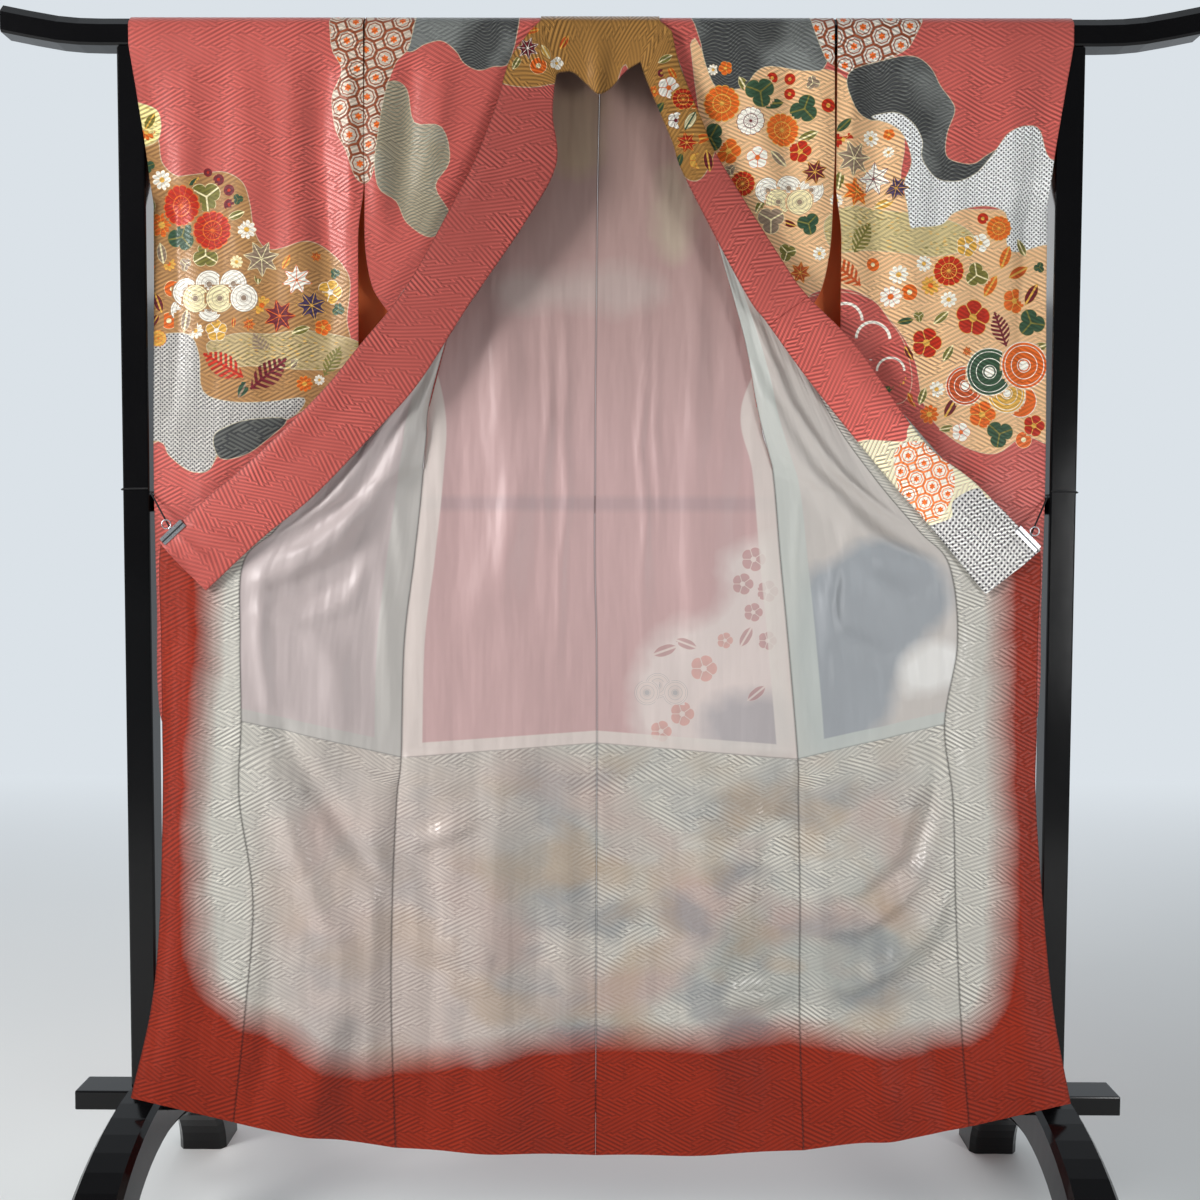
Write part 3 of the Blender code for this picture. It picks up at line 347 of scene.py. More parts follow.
# Zones of the dyed ground, in centimetres across and up
ZONES = {
    "peach_left": (
        (-68.5, 157), (-62.5, 157), (-61.5, 153), (-59.5, 151), (-57.5, 151), (-55, 151.5),
        (-52.5, 151.5), (-50, 150), (-49, 147), (-48.5, 143.5), (-47, 141), (-44.5, 141),
        (-41, 142), (-38.5, 141), (-36, 138.5), (-35, 136), (-35.5, 131), (-35, 127.5),
        (-37, 122), (-43, 117.5), (-52.5, 113), (-55, 110), (-56.5, 109.5), (-58.5, 110),
        (-61, 112), (-62.5, 114), (-69.5, 114.5),
    ),
    "kanoko_left": (
        (-69.5, 126.5), (-63.5, 127), (-62, 129), (-58, 129), (-56.5, 126), (-56, 121),
        (-52, 119.5), (-46.5, 119.5), (-41.5, 120), (-43, 117.5), (-47, 116), (-52.5, 115.5),
        (-54, 112), (-55, 110), (-56.5, 109.5), (-58.5, 110), (-61, 112), (-62.5, 114),
        (-69.5, 114.5),
    ),
    "grey_left_low": (
        (-54.5, 114.5), (-52.5, 116), (-49, 117), (-44, 117), (-47, 114), (-50, 112),
        (-53.5, 111.5),
    ),
    "mist_left": (
        (-55.5, 127.5), (-51.5, 129), (-46.5, 129), (-41, 129.5), (-35.5, 128.5), (-33, 127),
        (-35.5, 124.5), (-41.5, 124), (-48.5, 124.5), (-53, 124.5),
    ),
    "cream_left": (
        (-67.5, 161.5), (-64.5, 161), (-62, 160), (-61.5, 157.5), (-62.5, 155.5), (-66, 154.5),
        (-68, 155),
    ),
    "lattice_left": (
        (-36.5, 175), (-26.5, 175), (-26.5, 169), (-28.5, 166.5), (-30, 162), (-31, 156),
        (-32, 150.5), (-34, 150.5), (-35.5, 154.5), (-37, 157.5), (-37.5, 162), (-36, 165.5),
        (-37.5, 169),
    ),
    "wavy_left": (
        (-31, 162), (-29, 164), (-27, 163), (-26, 158.5), (-22, 157.5), (-21, 153),
        (-23, 149.5), (-21, 145.5), (-23.5, 142.5), (-27, 144.5), (-28.5, 147.5), (-31, 149.5),
        (-31.5, 156),
    ),
    "grey_left_top": (
        (-29, 175), (-12.5, 175), (-12.5, 167), (-15, 166), (-17, 165.5), (-19, 166.5),
        (-20, 168), (-22, 169.5), (-24.5, 169), (-26.5, 168), (-28.5, 169.5),
    ),
    "grey_right_top": (
        (14, 175), (32, 175), (31.5, 166.5), (29, 165.5), (25.5, 166), (23, 166), (21.5, 165),
        (20.5, 163.5), (19.5, 163), (16.5, 163), (15, 165.5), (14, 169.5),
    ),
    "peach_right": (
        (12.5, 169.5), (15.5, 167), (23.5, 167), (29, 166), (33.5, 165), (36, 161.5),
        (39, 159.5), (42.5, 156.5), (43, 147.5), (57, 146.5), (65.5, 144), (66, 116),
        (60, 115), (56, 112.5), (51.5, 113.5), (47.5, 116.5), (45.5, 120), (44, 126.5),
        (39, 133.5), (34, 135.5), (30, 135), (26.5, 132.5), (18, 141),
    ),
    "lattice_right": (
        (30, 175), (44, 175), (43.5, 169.5), (40, 167), (36, 165), (33, 166), (31, 168),
    ),
    "grey_right": (
        (34.5, 165), (39.5, 167), (43.5, 167.5), (46, 166), (47.5, 163.5), (49, 161.5),
        (49.5, 160), (48.5, 157), (48.5, 154), (50.5, 153), (52.5, 153), (54, 154), (56, 155),
        (54, 152.5), (52.5, 151), (50, 150), (47, 150.5), (45, 153), (44.5, 156), (43, 158),
        (41, 159.5), (38, 159), (35.5, 160.5),
    ),
    "kanoko_right": (
        (38, 159.5), (41, 160), (43.5, 158.5), (45, 156), (45, 153.5), (47, 151), (50, 150.5),
        (52.5, 151.5), (54, 153), (55.5, 155), (57, 157), (59.5, 158), (61.5, 157.5),
        (63, 153.5), (67, 152.5), (67, 142), (63, 142), (59.5, 141), (57.5, 141), (57, 143.5),
        (57, 146), (55, 147), (52.5, 147), (49.5, 146), (48, 144.5), (44.5, 144), (43.5, 144),
        (43, 147), (42.5, 150), (43.5, 153), (42.5, 156.5), (40.5, 158.5),
    ),
    "mist_right": (
        (32, 145.5), (36, 147), (43, 146), (49, 145), (52.5, 143), (51.5, 141), (46, 140),
        (39, 141), (33.5, 140.5), (31.5, 143),
    ),
    "pink_right": (
        (29, 134), (33.5, 135), (38.5, 134), (41, 131), (43, 127.5), (44, 122.5),
        (42.5, 119.5), (39, 120.5), (34.5, 125.5), (31, 129.5),
    ),
    "gold": (
        (-17, 174.5), (20, 174.5), (19.5, 165), (17, 159.5), (16, 154), (14, 150),
        (11.5, 150.5), (9, 155.5), (5.5, 159.5), (3.5, 166), (1.5, 161), (-1, 161),
        (-4, 163.5), (-6.5, 163), (-9.5, 162.5), (-13, 163), (-15, 164.5), (-16.5, 169),
    ),
    "pale_end": (
        (33.5, 112), (36.5, 114), (39.5, 114), (42.5, 114), (43, 116), (46.5, 117.5),
        (58, 108.5), (54.5, 106), (53, 107.5), (51, 106.5), (49.5, 105.5), (49, 103.5),
        (46.5, 102.5), (45, 101.5), (37, 106),
    ),
    "kanoko_end": (
        (46.5, 102.5), (49, 103.5), (49, 105.5), (51, 107), (53, 107.5), (54.5, 106),
        (58, 110), (66.5, 101.5), (57, 86), (45.5, 93), (43.5, 101),
    ),
    "hem_white": (
        (-54.5, 92), (-54.5, 108), (-54.5, 130), (0, 140), (56, 130), (56, 108), (56.3, 92),
        (56.5, 78), (57, 55), (56.5, 41), (54.5, 33.5), (49.5, 31), (43.5, 30), (37, 29.5),
        (28.5, 30.5), (20, 30), (11.5, 29.5), (0, 29), (-10, 28.5), (-18.5, 27), (-28.5, 26),
        (-36, 26), (-43, 30.5), (-49.5, 33), (-54, 37), (-56, 44), (-56.5, 57), (-56, 72),
        (-54.8, 82),
    ),
    "cream_top": (
        (-7, 164), (0, 164), (0, 159), (-1.5, 153), (-6, 153), (-7, 158),
    ),
    "band_mid": (
        (-16, 137), (-10, 138.5), (-4.5, 137.5), (1, 138.5), (7.5, 138), (9, 135), (4, 132.5),
        (-4.5, 133.5), (-13, 132.5),
    ),
    "cream_arm": (
        (9, 153), (12, 152.5), (13, 146.5), (12.5, 140.5), (9.5, 140), (8, 146),
    ),
    "cream_low": (
        (5, 77), (6.5, 84.5), (10.5, 88), (15.5, 89), (18, 93), (18, 98), (21.5, 100.5),
        (25.5, 99.5), (26.5, 86), (26.5, 70.5), (15, 71), (6, 72),
    ),
    "grey_low": (
        (15, 76.5), (21.5, 78.5), (27, 77), (28, 70.5), (17.5, 70),
    ),
    "grey_front": (
        (28, 91.5), (33, 97.5), (40, 100), (47, 97.5), (49.5, 91.5), (43.5, 84.5),
        (41.5, 77.5), (37.5, 72), (30, 71),
    ),
    "pale_front": (
        (42.5, 83), (46.5, 85.5), (51, 84.5), (51, 80.5), (46.5, 79), (43, 79),
    ),
    "lattice_end": (
        (41, 112.5), (44, 114), (48, 112.5), (49.5, 108), (47.5, 103.5), (44.5, 103), (42, 106),
    ),
}

# Motifs: kind, colour and colour of its lines, then for each one its place across and up
# and its radius, in centimetres, and its turn in degrees
LEFT_MOTIFS = (
    ("mum", "red", "orange", ((-59, 147, 2.8, 0), (-54.5, 143.5, 2.8, 10))),
    ("daisy", "orange", "gold", ((-62, 144.5, 1.8, 0), (-41.5, 122, 1.2, 0),
        (-63.5, 157, 1.2, 0))),
    ("daisy", "white", "gold", ((-61.5, 150.5, 1.4, 0), (-49.5, 143.5, 1.4, 0),
        (-57, 129.5, 1.2, 0))),
    ("ivy", "olive", "cream", ((-55.3, 148.2, 2.2, 35), (-55.5, 140, 1.9, -30))),
    ("ivy", "green", "olive", ((-59, 142.8, 2.2, 70),)),
    ("leaf", "green", "gold", ((-57, 149.5, 1.6, 60),)),
    ("leaf", "olive", "cream", ((-51, 145.5, 1.4, 20), (-48, 137, 1.2, 90),
        (-42, 129.5, 1.4, 20), (-63.5, 147, 1.4, 80))),
    ("ball", "wine", "red", ((-53.5, 150.5, 0.8, 0), (-52, 149, 0.8, 0), (-52, 147, 0.8, 0),
        (-55, 151.5, 0.6, 0))),
    ("maple", "taupe", "cream", ((-47.5, 139.5, 2.6, 15),)),
    ("wave", "white", "taupe", ((-58.5, 135, 2, 0), (-55, 136, 2, 0), (-51.5, 136, 2, 0))),
    ("wave", "cream", "taupe", ((-57, 134, 2, 0), (-53.5, 134, 2, 0))),
    ("wave", "white", "taupe", ((-50, 134, 2, 0), (-59, 132.5, 1.8, 0), (-55, 132.5, 1.8, 0))),
    ("maple", "white", "orange", ((-42.5, 136.5, 2.2, 40),)),
    ("daisy", "gold", "orange", ((-47.5, 133, 1.4, 0), (-61, 139, 1, 0))),
    ("maple", "wine", "orange", ((-45, 131.5, 2.4, 0),)),
    ("maple", "navy", "gold", ((-40.5, 133, 2.2, 25),)),
    ("plum", "gold", "white", ((-38, 135, 1.8, 0), (-54, 129.5, 1.6, 20))),
    ("ball", "orange", "cream", ((-60.5, 135.5, 1.2, 0), (-61, 131, 1.2, 0))),
    ("leaf", "taupe", "cream", ((-58.5, 131, 1.8, 80), (-43.5, 124.5, 1.6, 40),
        (-62, 140.5, 1.6, 100))),
    ("leaf", "wine", "gold", ((-62.5, 133.5, 1.6, 110), (-63, 131, 1.2, 60))),
    ("leaf", "green", "taupe", ((-50, 121.5, 1.8, 60),)),
    ("fern", "red", "gold", ((-53, 124.6, 3.4, 150),)),
    ("fern", "wine", "gold", ((-46.6, 123.4, 3.4, 40),)),
    ("fern", "taupe", "gold", ((-47.6, 127.2, 2.2, 120),)),
    ("fern", "olive", "gold", ((-37.6, 125.2, 2.4, 60),)),
    ("plum", "orange", "gold", ((-39, 130, 1.2, 0),)),
    ("leaf", "gold", "orange", ((-44, 139, 1.2, 60),)),
    ("daisy", "cream", "gold", ((-51, 139, 1, 0),)),
    ("leaf", "olive", "gold", ((-63, 158.5, 1.4, 60),)),
    ("mum", "gold", "orange", ((-62.5, 128.5, 1.2, 0),)),
)
RIGHT_MOTIFS = (
    ("mum", "orange", "gold", ((17, 161, 2.6, 0), (25.5, 157.5, 2.4, 8), (56, 144, 1.8, 0))),
    ("ivy", "green", "olive", ((22.3, 162.5, 2.2, 40), (15.5, 156.5, 2, 60),
        (28.5, 160.3, 2, 70), (61, 131, 2, 110))),
    ("leaf", "green", "olive", ((24, 161, 1.8, 10),)),
    ("mum", "white", "wine", ((21, 158.5, 2, 0),)),
    ("ball", "red", "gold", ((24, 164.5, 0.8, 0), (26.5, 164.5, 0.8, 0),
        (26.5, 162.5, 0.8, 0))),
    ("plum", "orange", "gold", ((18, 154.5, 1.8, 0), (21.5, 144, 1.2, 0))),
    ("plum", "white", "orange", ((22, 153.5, 1.6, 20), (51, 115.5, 1.4, 0))),
    ("leaf", "olive", "cream", ((20, 163.5, 1.4, 120), (29, 156.5, 1.6, 20),
        (22.5, 147, 1.4, 60), (33.5, 150.5, 1.6, 80), (59.5, 141.5, 1.4, 120),
        (48, 131.5, 1.4, 40), (49, 126.5, 1.4, 60), (62, 127.5, 1.6, 20))),
    ("plum", "red", "gold", ((28, 154.5, 1.6, 0), (34, 156, 1.4, 0), (46, 128, 2.2, 0))),
    ("leaf", "taupe", "cream", ((25, 153.5, 1.6, 140),)),
    ("mum", "red", "gold", ((20, 150, 1.8, 0), (49, 138, 2.2, 0))),
    ("wave", "white", "taupe", ((23.5, 149, 1.8, 0), (26.5, 149.5, 1.8, 0),
        (29.5, 149, 1.8, 0))),
    ("wave", "cream", "taupe", ((25, 147.5, 1.8, 0), (28, 147.5, 1.8, 0))),
    ("ivy", "taupe", "cream", ((24, 145, 2, 30),)),
    ("maple", "wine", "gold", ((30, 151.5, 1.8, 20),)),
    ("leaf", "wine", "gold", ((26.5, 144.5, 1.2, 160),)),
    ("maple", "taupe", "cream", ((35.5, 153.5, 2.6, 10),)),
    ("maple", "white", "wine", ((38.5, 151, 2.4, 35),)),
    ("maple", "navy", "gold", ((41.5, 149.5, 1.8, 0),)),
    ("maple", "orange", "gold", ((36, 149, 2.2, 50),)),
    ("leaf", "gold", "cream", ((40, 147.5, 1.6, 20),)),
    ("daisy", "white", "gold", ((38, 156.5, 1.2, 0), (45.5, 139, 1.2, 0),
        (42, 137.5, 1.4, 0), (49, 134, 1.2, 0), (47.5, 121.5, 1.2, 0))),
    ("leaf", "green", "olive", ((34, 158, 1.4, 40), (43, 131, 1.2, 10), (52, 120, 1.2, 150),
        (40.5, 121.5, 1.4, 40))),
    ("fern", "rust", "gold", ((34.4, 137.8, 3, 140),)),
    ("fern", "olive", "gold", ((36.8, 142.6, 2.6, 60),)),
    ("fern", "wine", "gold", ((56.5, 130, 2.6, 110),)),
    ("daisy", "gold", "orange", ((46.5, 136, 1.4, 0),)),
    ("daisy", "white", "orange", ((41, 134.5, 1.6, 0),)),
    ("ball", "orange", "cream", ((43.5, 135, 1.2, 0), (38.5, 139, 1, 0), (60, 114.5, 1.2, 0))),
    ("plum", "red", "gold", ((52.5, 131.5, 2.6, 12), (61.5, 116.5, 1.6, 0))),
    ("leaf", "orange", "gold", ((55, 136, 1.8, 60),)),
    ("ivy", "olive", "cream", ((53, 137.5, 1.8, 100),)),
    ("plum", "gold", "white", ((51.5, 141.5, 1.6, 0),)),
    ("plum", "white", "gold", ((53.5, 142, 1.4, 0),)),
    ("leaf", "orange", "gold", ((57, 140, 1.8, 70),)),
    ("leaf", "rust", "gold", ((59, 138, 1.8, 30),)),
    ("plum", "orange", "gold", ((58.5, 134, 1.8, 0), (54, 118, 2, 0))),
    ("leaf", "wine", "gold", ((61, 135, 1.8, 60), (43.5, 126.5, 1.2, 120),
        (49.5, 119, 1.8, 60))),
    ("wave", "green", "white", ((55, 124, 3.4, 0),)),
    ("wave", "orange", "white", ((60, 125, 3.4, 0),)),
    ("wave", "rust", "white", ((51.5, 122, 2.8, 0),)),
    ("wave", "gold", "white", ((57.5, 121, 2.8, 0),)),
    ("ball", "orange", "white", ((59.5, 120, 2.4, 0),)),
    ("ivy", "green", "olive", ((56.5, 115.3, 2, 20),)),
    ("daisy", "orange", "gold", ((46.5, 118, 1.4, 0),)),
    ("leaf", "olive", "cream", ((45.5, 120.5, 1.4, 70), (49, 116, 1.2, 10))),
    ("daisy", "gold", "orange", ((42, 123, 1.2, 0),)),
    ("leaf", "rust", "gold", ((44, 120, 1.2, 120),)),
    ("arc", "white", "white", ((34.5, 131, 2.8, 0), (38.5, 128.5, 2.8, 0),
        (36, 125.5, 2.6, 0), (41, 124, 2.2, 0))),
)
COLLAR_MOTIFS = (
    ("plum", "white", "orange", ((9.5, 162.5, 1.6, 0),)),
    ("mum", "red", "gold", ((11.5, 161, 1.6, 0),)),
    ("leaf", "green", "olive", ((8, 159.5, 1.4, 50),)),
    ("leaf", "orange", "gold", ((10, 164.5, 1.2, 120),)),
    ("leaf", "cream", "green", ((12.5, 158, 1.6, 60),)),
    ("leaf", "orange", "gold", ((14, 155.5, 1.6, 20),)),
    ("leaf", "wine", "gold", ((15, 152.5, 1.6, 100),)),
    ("maple", "red", "gold", ((12, 155, 1.6, 0),)),
    ("daisy", "orange", "gold", ((7.5, 162, 0.8, 0),)),
    ("plum", "white", "wine", ((10.5, 158, 1.2, 0),)),
    ("leaf", "olive", "cream", ((9, 166.5, 1.2, 30), (13.5, 158.5, 1.2, 0))),
    ("plum", "gold", "orange", ((13.5, 152.5, 1.2, 0),)),
    ("leaf", "green", "olive", ((11, 152.5, 1.2, 70),)),
    ("ball", "orange", "cream", ((13, 160.5, 0.8, 0), (-8.5, 165.5, 1.2, 0))),
    ("ball", "wine", "gold", ((8.5, 164.5, 0.6, 0),)),
    ("maple", "wine", "white", ((-10, 168, 1.6, 20),)),
    ("leaf", "olive", "cream", ((-11.5, 166, 1.2, 60),)),
    ("leaf", "gold", "cream", ((-7.5, 167.5, 1.2, 120),)),
    ("daisy", "white", "gold", ((-12.5, 168.5, 1.2, 0),)),
    ("leaf", "orange", "gold", ((-9.5, 170.5, 1.2, 10),)),
    ("plum", "white", "gold", ((-6, 166, 1, 0),)),
    ("leaf", "rust", "gold", ((-5, 169, 1.2, 60),)),
)
LINING_MOTIFS = (
    ("plum", "dusk", "pale", ((22, 97.5, 1.8, 0), (20.5, 94, 1.6, 0), (24, 93, 1.6, 0),
        (22, 90, 1.4, 0), (24, 86, 1.4, 0))),
    ("leaf", "dusk", "pale", ((21, 86.5, 1.8, 60), (9.5, 84.5, 2, 20),
        (12.5, 85.5, 1.8, -20), (22.5, 78.5, 1.8, 40))),
    ("plum", "rose", "pale", ((15, 82, 2, 0), (12, 75.5, 1.8, 0), (18, 86, 1.2, 0),
        (9, 73, 1.6, 0))),
    ("wave", "pale", "slate", ((8.5, 79.5, 1.8, 0), (11, 78.5, 1.8, 0), (7, 78.5, 1.8, 0))),
)

# Distance between the rows of a cloth piece: printed, plain, and hidden
FINE = 0.0038
MEDIUM = 0.0065
COARSE = 0.0095
BACK_COLUMNS = 48
FRONT_COLUMNS = 40
OKUMI_COLUMNS = 22
SHOULDER_COLUMNS = 66
SLEEVE_COLUMNS = {"front": 84, "back": 60}
COLLAR_COLUMNS = 20
COLLAR_ROWS = 190  # on each side of the neck
DENSE_STATIONS = 600  # on which the even ones are worked out
NECK_ROWS = 47
ARMHOLE_LAP = 0.0012  # where the sleeve is sewn on, it laps the body's edge
HIDDEN_Z = 1.02  # below this the sleeves hang behind the fronts

SIDES = ("left", "right")
SIGNS = {"left": -1, "right": 1}
TOWARDS = np.array((0.0, -1.0, 0.0))
AWAY = np.array((0.0, 1.0, 0.0))

# What shows of each cloth piece before it is hung: its width, length and flat area (where it
# isn't a rectangle), and what it hangs from. The first name found in the node's counts.
CUTS = {
    "hem_lining_back": (0.30, 0.58, 0.170, ("back_left", "back_right")),
    "hem_lining_front": (0.235, 0.56, 0.122, ("front_left", "front_right")),
    "hem_lining_okumi": (0.145, 1.32, 0.133, ("okumi_left", "okumi_right")),
    "lining_back": (0.33, 1.00, 0.285, ("top_rail",)),
    "lining_front": (0.245, 1.04, 0.120, ("top_rail",)),
    "front_shoulder": (0.25, 0.58, 0.090, ("top_rail",)),
    "sleeve": (0.34, 1.08, 0.364, ("top_rail",)),
    "over_collar": (0.11, 1.02, 0.090, ("collar",)),
    "collar": (0.11, 1.97, 0.180, ("top_rail", "clip_left", "clip_right")),
    "back": (0.33, 1.635, 0.465, ("top_rail",)),
    "front": (0.245, 1.63, 0.240, ("top_rail",)),
    "okumi": (0.145, 1.32, 0.133, ("front_left", "front_right")),
}


# Colours


def srgb(red, green, blue):
    """A colour written in screen values, 0 to 255, as linear light."""
    out = []
    for value in (red, green, blue):
        value /= 255
        out.append(value / 12.92 if value <= 0.04045 else ((value + 0.055) / 1.055) ** 2.4)
    return tuple(out)


PINK = srgb(193, 94, 86)
# The left's peach ground, painted darker than the right's as the left side's shade
SHADED_PEACH_LEFT = srgb(172, 128, 82)
PEACH_RIGHT = srgb(230, 186, 140)
GREY = srgb(66, 67, 68)
GREY_LINE = srgb(102, 103, 98)
CREAM = srgb(214, 204, 174)
PALE_GREEN = srgb(164, 150, 126)
GOLD = srgb(176, 128, 68)
VERMILION = srgb(143, 34, 2)
# Brown of the lining's painted shade towards the neck, with the print behind showing through
NECK_SHADE_AND_PRINT = srgb(134, 108, 94)
DAMASK_WHITE = srgb(194, 190, 181)

DYES = {
    "red": srgb(186, 48, 30),
    "orange": srgb(222, 104, 40),
    "rust": srgb(196, 84, 38),
    "gold": srgb(224, 172, 78),
    "white": srgb(246, 240, 226),
    "cream": srgb(240, 226, 178),
    "wine": srgb(112, 38, 46),
    "navy": srgb(78, 62, 92),
    "olive": srgb(124, 118, 58),
    "green": srgb(58, 84, 62),
    "taupe": srgb(150, 128, 108),
    "dusk": srgb(176, 110, 112),
    "rose": srgb(206, 132, 120),
    "pale": srgb(222, 206, 198),
    "slate": srgb(150, 152, 156),
}

# Motifs: petals, how deep the notches go, how narrow they are (below 0 for sharp petals),
# then rings, size of the heart, and lines: 0 none, 1 between petals, 2 along each
MOTIFS = {
    "mum": (14, 0.12, 0.50, 2.1, 0.10, 1),
    "daisy": (9, 0.42, 0.50, 0.0, 0.26, 1),
    "plum": (5, 0.30, 0.42, 0.0, 0.22, 1),
    "maple": (7, 0.40, -1.00, 0.0, 0.00, 2),
    "leaf": (2, 0.58, -0.65, 0.0, 0.00, 2),
    "ivy": (3, 0.44, 0.55, 0.0, 0.00, 2),
    "ball": (1, 0.00, 1.00, 1.0, 0.30, 0),
    "wave": (1, 0.00, 1.00, 3.6, 0.20, 0),
    "arc": (1, 0.00, 1.00, 0.0, 0.00, 0),
    "fern": (1, 0.00, 1.00, 0.0, 0.00, 0),
}


# Shapes of the cloth


def read_line(table, stations, side):
    """Points on a seam line, on a smooth curve through its table."""
    column = 1 if side == "left" else 2
    known = np.array([row[0] for row in table], float)
    points = np.array([(row[column], row[3], row[4]) for row in table])
    return smooth_curve(known, points, stations)


def smooth_curve(known, points, stations):
    """Points at some stations on a smooth curve through the known ones."""
    index = np.arange(len(known))
    low, high = np.maximum(index - 1, 0), np.minimum(index + 1, len(known) - 1)
    slopes = (points[high] - points[low]) / (known[high] - known[low])[:, None]
    s = np.clip(np.asarray(stations, float), known[0], known[-1])
    k = np.clip(np.searchsorted(known, s, side="right") - 1, 0, len(known) - 2)
    span = (known[k + 1] - known[k])[:, None]
    f = ((s - known[k]) / span[:, 0])[:, None]
    f2, f3 = f * f, f * f * f
    return (
        points[k] * (2 * f3 - 3 * f2 + 1)
        + slopes[k] * span * (f3 - 2 * f2 + f)
        + points[k + 1] * (3 * f2 - 2 * f3)
        + slopes[k + 1] * span * (f3 - f2)
    )


def front_hinge(stations, side):
    """The side seam, and above it the fold that the turned-back front hangs from."""
    stations = np.asarray(stations, float)
    low = read_line(SIDE_SEAM, stations, side)
    high = read_line(FRONT_HINGE, stations, side)
    return np.where((stations < FRONT_HINGE[0][0])[:, None], low, high)


def line_points(line, stations, side):
    return line(stations, side) if callable(line) else read_line(line, stations, side)


def even_stations(lines, side, first, last, step):
    """Stations between two, so that rows are about one step apart."""
    dense = np.linspace(first, last, DENSE_STATIONS)
    middle = sum(line_points(line, dense, side) for line in lines) / len(lines)
    run = np.concatenate([[0], np.cumsum(np.linalg.norm(np.diff(middle, axis=0), axis=1))])
    count = max(2, int(round(run[-1] / step)) + 1)
    return np.interp(np.linspace(0, run[-1], count), run, dense)


def ease(value):
    value = np.clip(value, 0.0, 1.0)
    return value * value * (3 - 2 * value)


def fold_height(panel, side, stations, across):
    """The part's large folds, how far they stand towards the viewer."""
    s, t = np.meshgrid(stations, across, indexing="ij")
    height = np.zeros_like(s)
    for name, where, width, rise, ridge in FOLDS:
        if name != panel or where != side:
            continue
        known, places = zip(*ridge)
        middle = np.interp(s, known, places)
        ends = np.minimum(s - known[0], known[-1] - s)
        fade = np.clip(ends / FOLD_FADE, 0, 1) if known[0] > 0 else np.ones_like(s)
        inside = (s >= known[0]) & (s <= known[-1])
        height += np.where(inside, rise * np.exp(-(((t - middle) / width) ** 2)) * fade, 0)
    return height * np.sin(np.pi * np.clip(t, 0, 1)) ** FOLD_EDGES


def crease_height(points, creases):
    """Soft ridges and troughs along lines of (x, z) in centimetres."""
    x, z = points[..., 0], points[..., 2]
    height = np.zeros_like(x)
    for width, rise, line in creases:
        path = np.array(line, float) / 100
        lengths = np.linalg.norm(np.diff(path, axis=0), axis=1)
        starts = np.concatenate([[0], np.cumsum(lengths)])
        best = np.full_like(x, FAR)
        place = np.zeros_like(x)
        for i, length in enumerate(lengths):
            way = (path[i + 1] - path[i]) / length
            along = np.clip((x - path[i, 0]) * way[0] + (z - path[i, 1]) * way[1], 0, length)
            gap = np.hypot(x - path[i, 0] - along * way[0], z - path[i, 1] - along * way[1])
            nearer = gap < best
            best = np.where(nearer, gap, best)
            place = np.where(nearer, (starts[i] + along) / starts[-1], place)
        height += rise * np.exp(-((best / width) ** 2)) * np.sin(np.pi * place) ** CREASE_ENDS
    return height


def below_rail(points):
    """0 where the cloth lies against the rail, 1 well below it."""
    return ease((RAIL_TOP - RAIL_HEIGHT - points[..., 2]) / RAIL_FADE)


def between(a, b, across):
    """A grid of points from one line to another."""
    return a[:, None] + (b - a)[:, None] * across[None, :, None]


def panel_points(panel, side, inner, outer, stations, columns, creases=()):
    """A panel's grid between two seam lines, with its folds and creases."""
    sign = SIGNS[side]
    a = line_points(inner, stations, side)
    b = line_points(outer, stations, side)
    a[:, 0] += sign * HALF_SEAM
    b[:, 0] -= sign * HALF_SEAM
    across = np.linspace(0, 1, columns)
    points = between(a, b, across)
    points[..., 1] -= fold_height(panel, side, stations, across)
    edge_fade = np.clip(np.minimum(across, 1 - across) / CREASE_EDGE, 0, 1)
    points[..., 1] -= crease_height(points, creases) * edge_fade
    return points


def cloth_places(points):
    """Where each point lies on the flat cloth, in metres: across, and along."""
    across = np.linalg.norm(np.diff(points, axis=1), axis=2)
    u = np.concatenate([np.zeros((len(points), 1)), np.cumsum(across, axis=1)], axis=1)
    along = np.linalg.norm(np.diff(points, axis=0), axis=2).mean(axis=1)
    v = np.concatenate([[0], np.cumsum(along)])
    return np.stack([u, np.broadcast_to(v[:, None], u.shape)], axis=2)


# Zones and motifs


def rounded(outline, steps=4):
    """A closed smooth curve through an outline given in centimetres."""
    points = np.array(outline, float) / 100
    before, after = np.roll(points, 1, axis=0), np.roll(points, -1, axis=0)
    later = np.roll(points, -2, axis=0)
    out = []
    for k in range(steps):
        f = k / steps
        out.append(
            0.5
            * (
                2 * points
                + (after - before) * f
                + (2 * before - 5 * points + 4 * after - later) * f * f
                + (3 * points - before - 3 * after + later) * f**3
            )
        )
    return np.stack(out, axis=1).reshape(-1, 2)


def inside_distance(x, z, outline):
    """Distance to the edge of a zone, positive inside it."""
    path = rounded(outline)
    best = np.full(x.shape, FAR)
    inside = np.zeros(x.shape, bool)
    for (x0, z0), (x1, z1) in zip(path, np.roll(path, -1, axis=0)):
        dx, dz = x1 - x0, z1 - z0
        length = dx * dx + dz * dz
        if length < 1e-12:
            continue
        f = np.clip(((x - x0) * dx + (z - z0) * dz) / length, 0, 1)
        best = np.minimum(best, np.hypot(x - x0 - f * dx, z - z0 - f * dz))
        if abs(dz) > 1e-12:
            crosses = (z0 > z) != (z1 > z)
            inside ^= crosses & (x < x0 + (z - z0) * dx / dz)
    return np.where(inside, best, -best)


